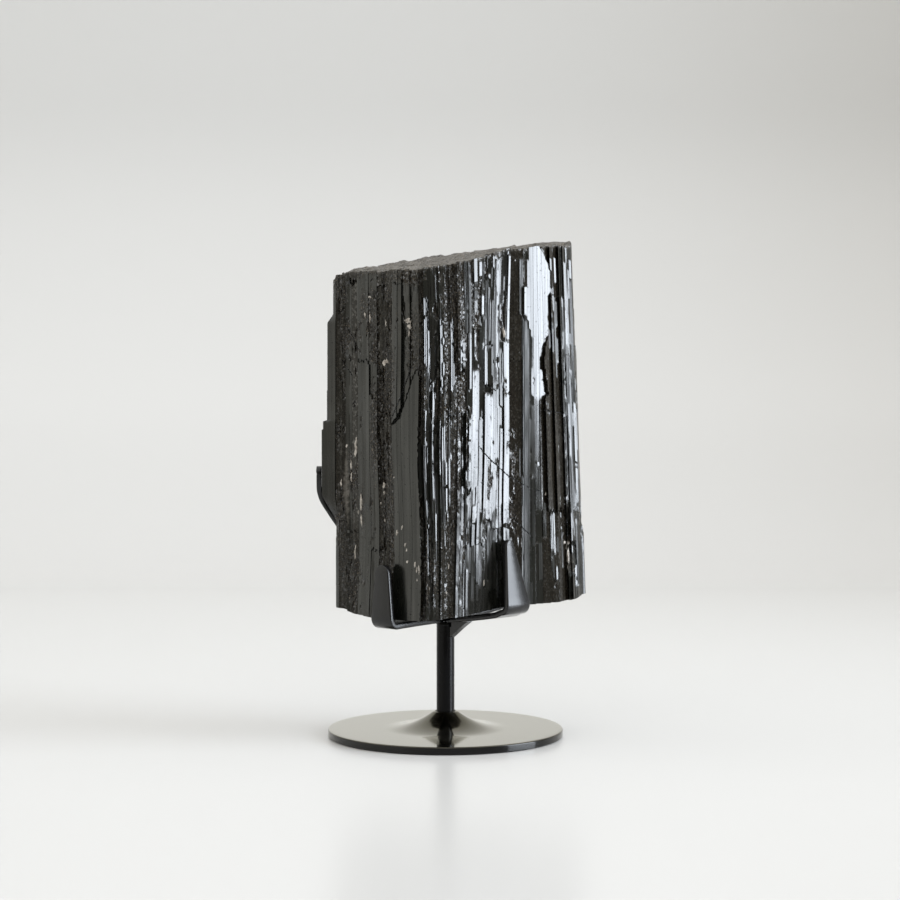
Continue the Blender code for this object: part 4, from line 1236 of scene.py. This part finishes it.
def masks_at(cell, place, height, rim, broken, inside):
    """Rough, brown, pale and satin shares of a point on the side."""
    if inside > PANEL_BLEND / 2:
        return CLEAN_MASKS
    finish = cell.rib.finish
    rough = max(finish.rough, 0.85 * broken)
    brown = max(finish.brown, 0.8 * broken)
    pale = 0
    satin = finish.satin * (0.6 + wave(cell.seed, place * 0.5, height * 0.03))
    if cell.front:
        grain = wave(place * 1.3, cell.seed * 0.001, height * 0.9)
        for x, z, wide, tall, kind, strength in ZONES:
            away = math.hypot((place - x) / wide, (height - z) / tall)
            share = strength * clamp((1.25 - away + 0.5 * grain) * 2.5)
            if kind == "pale":
                pale = max(pale, share)
            elif kind == "pit":
                rough, brown = max(rough, share), max(brown, share)
            elif kind == "satin":
                satin = max(satin, share * (0.75 + 0.5 * grain))
            else:
                rough, brown = max(rough, share * 0.8), max(brown, share * 0.6)
    edge = clamp(1 - (rim - height) / WORN_EDGE)
    return max(rough, edge), max(brown, edge * 0.5), max(pale, edge * 0.2), clamp(satin)


def spot_on(side, place, depth):
    return Vector(side.run) * place + Vector(side.face) * depth


def column_ends(cell, place, index):
    """Heights at which a column of points starts and ends."""
    x, y = spot_on(cell.side, place, along(cell.side.outline, place))
    low = along(BOTTOM_RIM, x) + BOTTOM_RAG * hashed(index, 5)
    low -= along(FRONT_SAG, x) if cell.front else 0
    high = top_height(x, y) + cell.top + cell.rib.top * (1 if cell.front else BACK_TOP_SHARE)
    return low, high + TOP_WAVE * wave(x * 0.16, y * 0.16, 2)


def column_places(cell, before, rng):
    """Where a cell's columns stand, each with its strip; a groove's bottom has none."""
    places = [(cell.start, None)] if before and before.rib is not cell.rib else []
    inset = STRIP_INSET if cell.front else 0
    strips = strips_of(cell, rng)
    for strip in strips:
        places.append((strip.near + inset, strip))
        if cell.front or strip is strips[-1]:
            places.append((strip.far - inset, strip))
    return places


def depth_and_masks(cell, before, place, strip, height, ledges, rim):
    """How far out one point of a column lies, and its painted masks."""
    panel, inside = panel_at(place, height) if cell.front else (None, -OUTER_REACH)
    depth, broken = cell.depth(place, height, ledges, panel, inside)
    if strip is None:
        other = before.depth(place, height, before.ledges_at(place))[0]
        groove = 0.75 + 0.8 * wave(place, height * 0.05, 2)
        return min(depth, other) - cell.rib.groove * groove, GROOVE_MASKS
    lit = glint_at(strip, height) if cell.front and inside < 0 else None
    if lit is None:
        return depth, masks_at(cell, place, height, rim, broken, inside)
    facing, lift, satin = lit
    depth = cell.depth(strip.middle, height, ledges)[0]
    depth -= (place - strip.middle - lift * (strip.far - strip.near)) * slope_of(facing, cell.side)
    return depth, (0, 0, 0, satin)


def stone_columns():
    """Every upright line of points round the stone, each point with its masks."""
    rng = random.Random(STRIP_SEED)
    columns = []
    for cells in make_cells():
        for index, cell in enumerate(cells):
            side = cell.side
            before = cells[index - 1] if index else None
            for place, strip in column_places(cell, before, rng):
                low, high = column_ends(cell, place, index)
                ledges = cell.ledges_at(place)
                shared = LEFT_BULGE if left_share(side, cell.start) > 0 else ()
                column = []
                for height in row_heights(low, high, [*ledges, *shared]):
                    depth, masks = depth_and_masks(cell, before, place, strip, height, ledges, high)
                    x, y = spot_on(side, place, depth)
                    swell = stepped(LEFT_BULGE, height) * left_share(side, place)
                    column.append((settle(x - swell, y, height), masks))
                columns.append(column)
    return columns


def cap(builder, ring, height_at, spacing):
    """Close one end with a net of triangles over points about a spacing apart."""
    rim = [Vector(vertex.co.xy) for vertex in ring]
    tree = kdtree.KDTree(len(ring))
    for number, point in enumerate(rim):
        tree.insert((point.x, point.y, 0), number)
    tree.balance()
    spots = list(rim)
    reach = int(OUTER_REACH / spacing)
    for row in range(-reach, reach + 1):
        for step in range(-reach, reach + 1):
            wobble = NET_WOBBLE * math.sin(12.9 * step + 78.2 * row)
            x = (step + 0.5 * (row % 2) + wobble) * spacing
            y = (row - wobble) * NET_ROW * spacing
            spots.append(Vector((x, y)))
    numbers = list(range(len(rim)))
    edges = list(zip(numbers, numbers[1:] + numbers[:1]))
    points, _, faces, sources, _, _ = geometry.delaunay_2d_cdt(spots, edges, [numbers], 1, NET_MERGE)
    corners = []
    added = []
    for point, source in zip(points, sources):
        on_rim = [number for number in source if number < len(rim)]
        if on_rim:
            corners.append(ring[on_rim[0]])
        else:
            _, nearest, away = tree.find((point.x, point.y, 0))
            share = smooth(away / RIM_BLEND)
            height = ring[nearest].co.z * (1 - share) + height_at(point.x, point.y) * share
            added.append(builder.verts.new((point.x, point.y, height)))
            corners.append(added[-1])
    for face in faces:
        builder.faces.new([corners[number] for number in face])
    for vertex in added:
        if not vertex.link_faces:
            builder.verts.remove(vertex)
    return [vertex for vertex in added if vertex.is_valid]


def broken_top(x, y):
    """The upper end: a sloping break in low steps that run across the stone."""
    across = 0.19 * x + 0.11 * y
    step = math.floor(across) + smooth((across % 1) * 4)
    lumps = 0.4 * math.sin(0.23 * y - 0.17 * x + 1)
    grain = 0.35 * wave(x * 0.45, y * 0.45) + 0.2 * wave(x, y, 5)
    cells = noise.cell(Vector((x * 0.22 + 7, y * 0.3, 0))) * 0.5
    return top_height(x, y) - TOP_DROP + 0.6 * math.sin(2.4 * step) + lumps + grain + cells


def broken_bottom(x, y):
    """The lower end: nearly flat where the arms pass below it."""
    return along(BOTTOM_RIM, x) + BOTTOM_RISE + 0.3 * math.sin(0.17 * x - 0.2 * y)


def make_stone(material):
    """The stone as one closed mesh; returns its surface for the grains to sit on."""
    builder = bmesh.new()
    layer = builder.verts.layers.float_color.new("masks")
    grid = []
    for column in stone_columns():
        grid.append([builder.verts.new(point) for point, _ in column])
        for vertex, (_, masks) in zip(grid[-1], column):
            vertex[layer] = masks
    for left, right in zip(grid, grid[1:] + grid[:1]):
        for row in range(ROWS - 1):
            builder.faces.new((left[row], right[row], right[row + 1], left[row + 1]))
    for vertex in cap(builder, [line[-1] for line in grid], broken_top, TOP_SPACING):
        vertex[layer] = (1, 0.45, clamp(0.34 + 0.45 * noise.noise(vertex.co * 0.8)), 0.5)
    for vertex in cap(builder, [line[0] for line in grid], broken_bottom, BOTTOM_SPACING):
        vertex[layer] = BOTTOM_MASKS
    bmesh.ops.triangulate(builder, faces=builder.faces)
    print("stone columns", len(grid), "triangles", len(builder.faces))
    surface = BVHTree.FromBMesh(builder)
    put("tourmaline_block", builder, material, "tourmaline", STONE_SHARP)
    return surface


def make_grains(surface, material):
    """Small lumps of feldspar, each set into the surface where it meets it."""
    builder = bmesh.new()
    for number, (x, height, wide, tall, lean) in enumerate(GRAINS):
        hit, normal, _, _ = surface.ray_cast(Vector((x, RAY_START_Y, height)), Vector((0, 1, 0)))
        if hit is None:
            continue
        if normal.y > 0:
            normal = -normal
        centre = hit - normal * GRAIN_SINK
        turn = normal.to_track_quat("Y", "Z").to_matrix().to_4x4()
        cosine, sine = math.cos(math.radians(lean)), math.sin(math.radians(lean))
        for vertex in bmesh.ops.create_icosphere(builder, subdivisions=3, radius=1)["verts"]:
            bumpy = 1 + 0.75 * noise.noise(vertex.co * 1.5 + Vector((number, 0, 0)))
            bumpy += 0.30 * noise.noise(vertex.co * 4 + Vector((0, number, 0)))
            flat = vertex.co * bumpy
            across = flat.x * wide * cosine - flat.z * tall * sine
            upright = flat.x * wide * sine + flat.z * tall * cosine
            vertex.co = centre + turn @ Vector((across, flat.y * GRAIN_THICKNESS, upright))
    put("feldspar_grains", builder, material, None, GRAIN_SHARP)


# ------------------------------ everything
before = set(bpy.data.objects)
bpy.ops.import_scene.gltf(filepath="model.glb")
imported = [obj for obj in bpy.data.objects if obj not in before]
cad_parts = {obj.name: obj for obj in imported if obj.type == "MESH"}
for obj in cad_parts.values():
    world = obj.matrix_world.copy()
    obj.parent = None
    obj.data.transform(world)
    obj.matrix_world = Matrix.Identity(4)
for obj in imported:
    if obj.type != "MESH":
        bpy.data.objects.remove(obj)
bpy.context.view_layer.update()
make_camera()
make_window()
make_room()
make_stage()
base_paint = paint_material("gloss_black_lacquer_painted_lit_top", 260, 0.00002, 0.08, 1.33, painted_lit_top=True)
post_paint = paint_material("deep_black_lacquer", 260, 0.00002, 0.06, 1.18)
bar_paint = paint_material("grained_black_lacquer", 1400, 0.00005, 0.22, 1.41)
make_base(base_paint)
make_post(post_paint)
for prong_name in BENT_PRONGS:
    bent_prong(prong_name, bar_paint)
make_back_left_prong(bar_paint)
make_gusset(bar_paint)
make_grains(make_stone(stone_material()), grain_material())
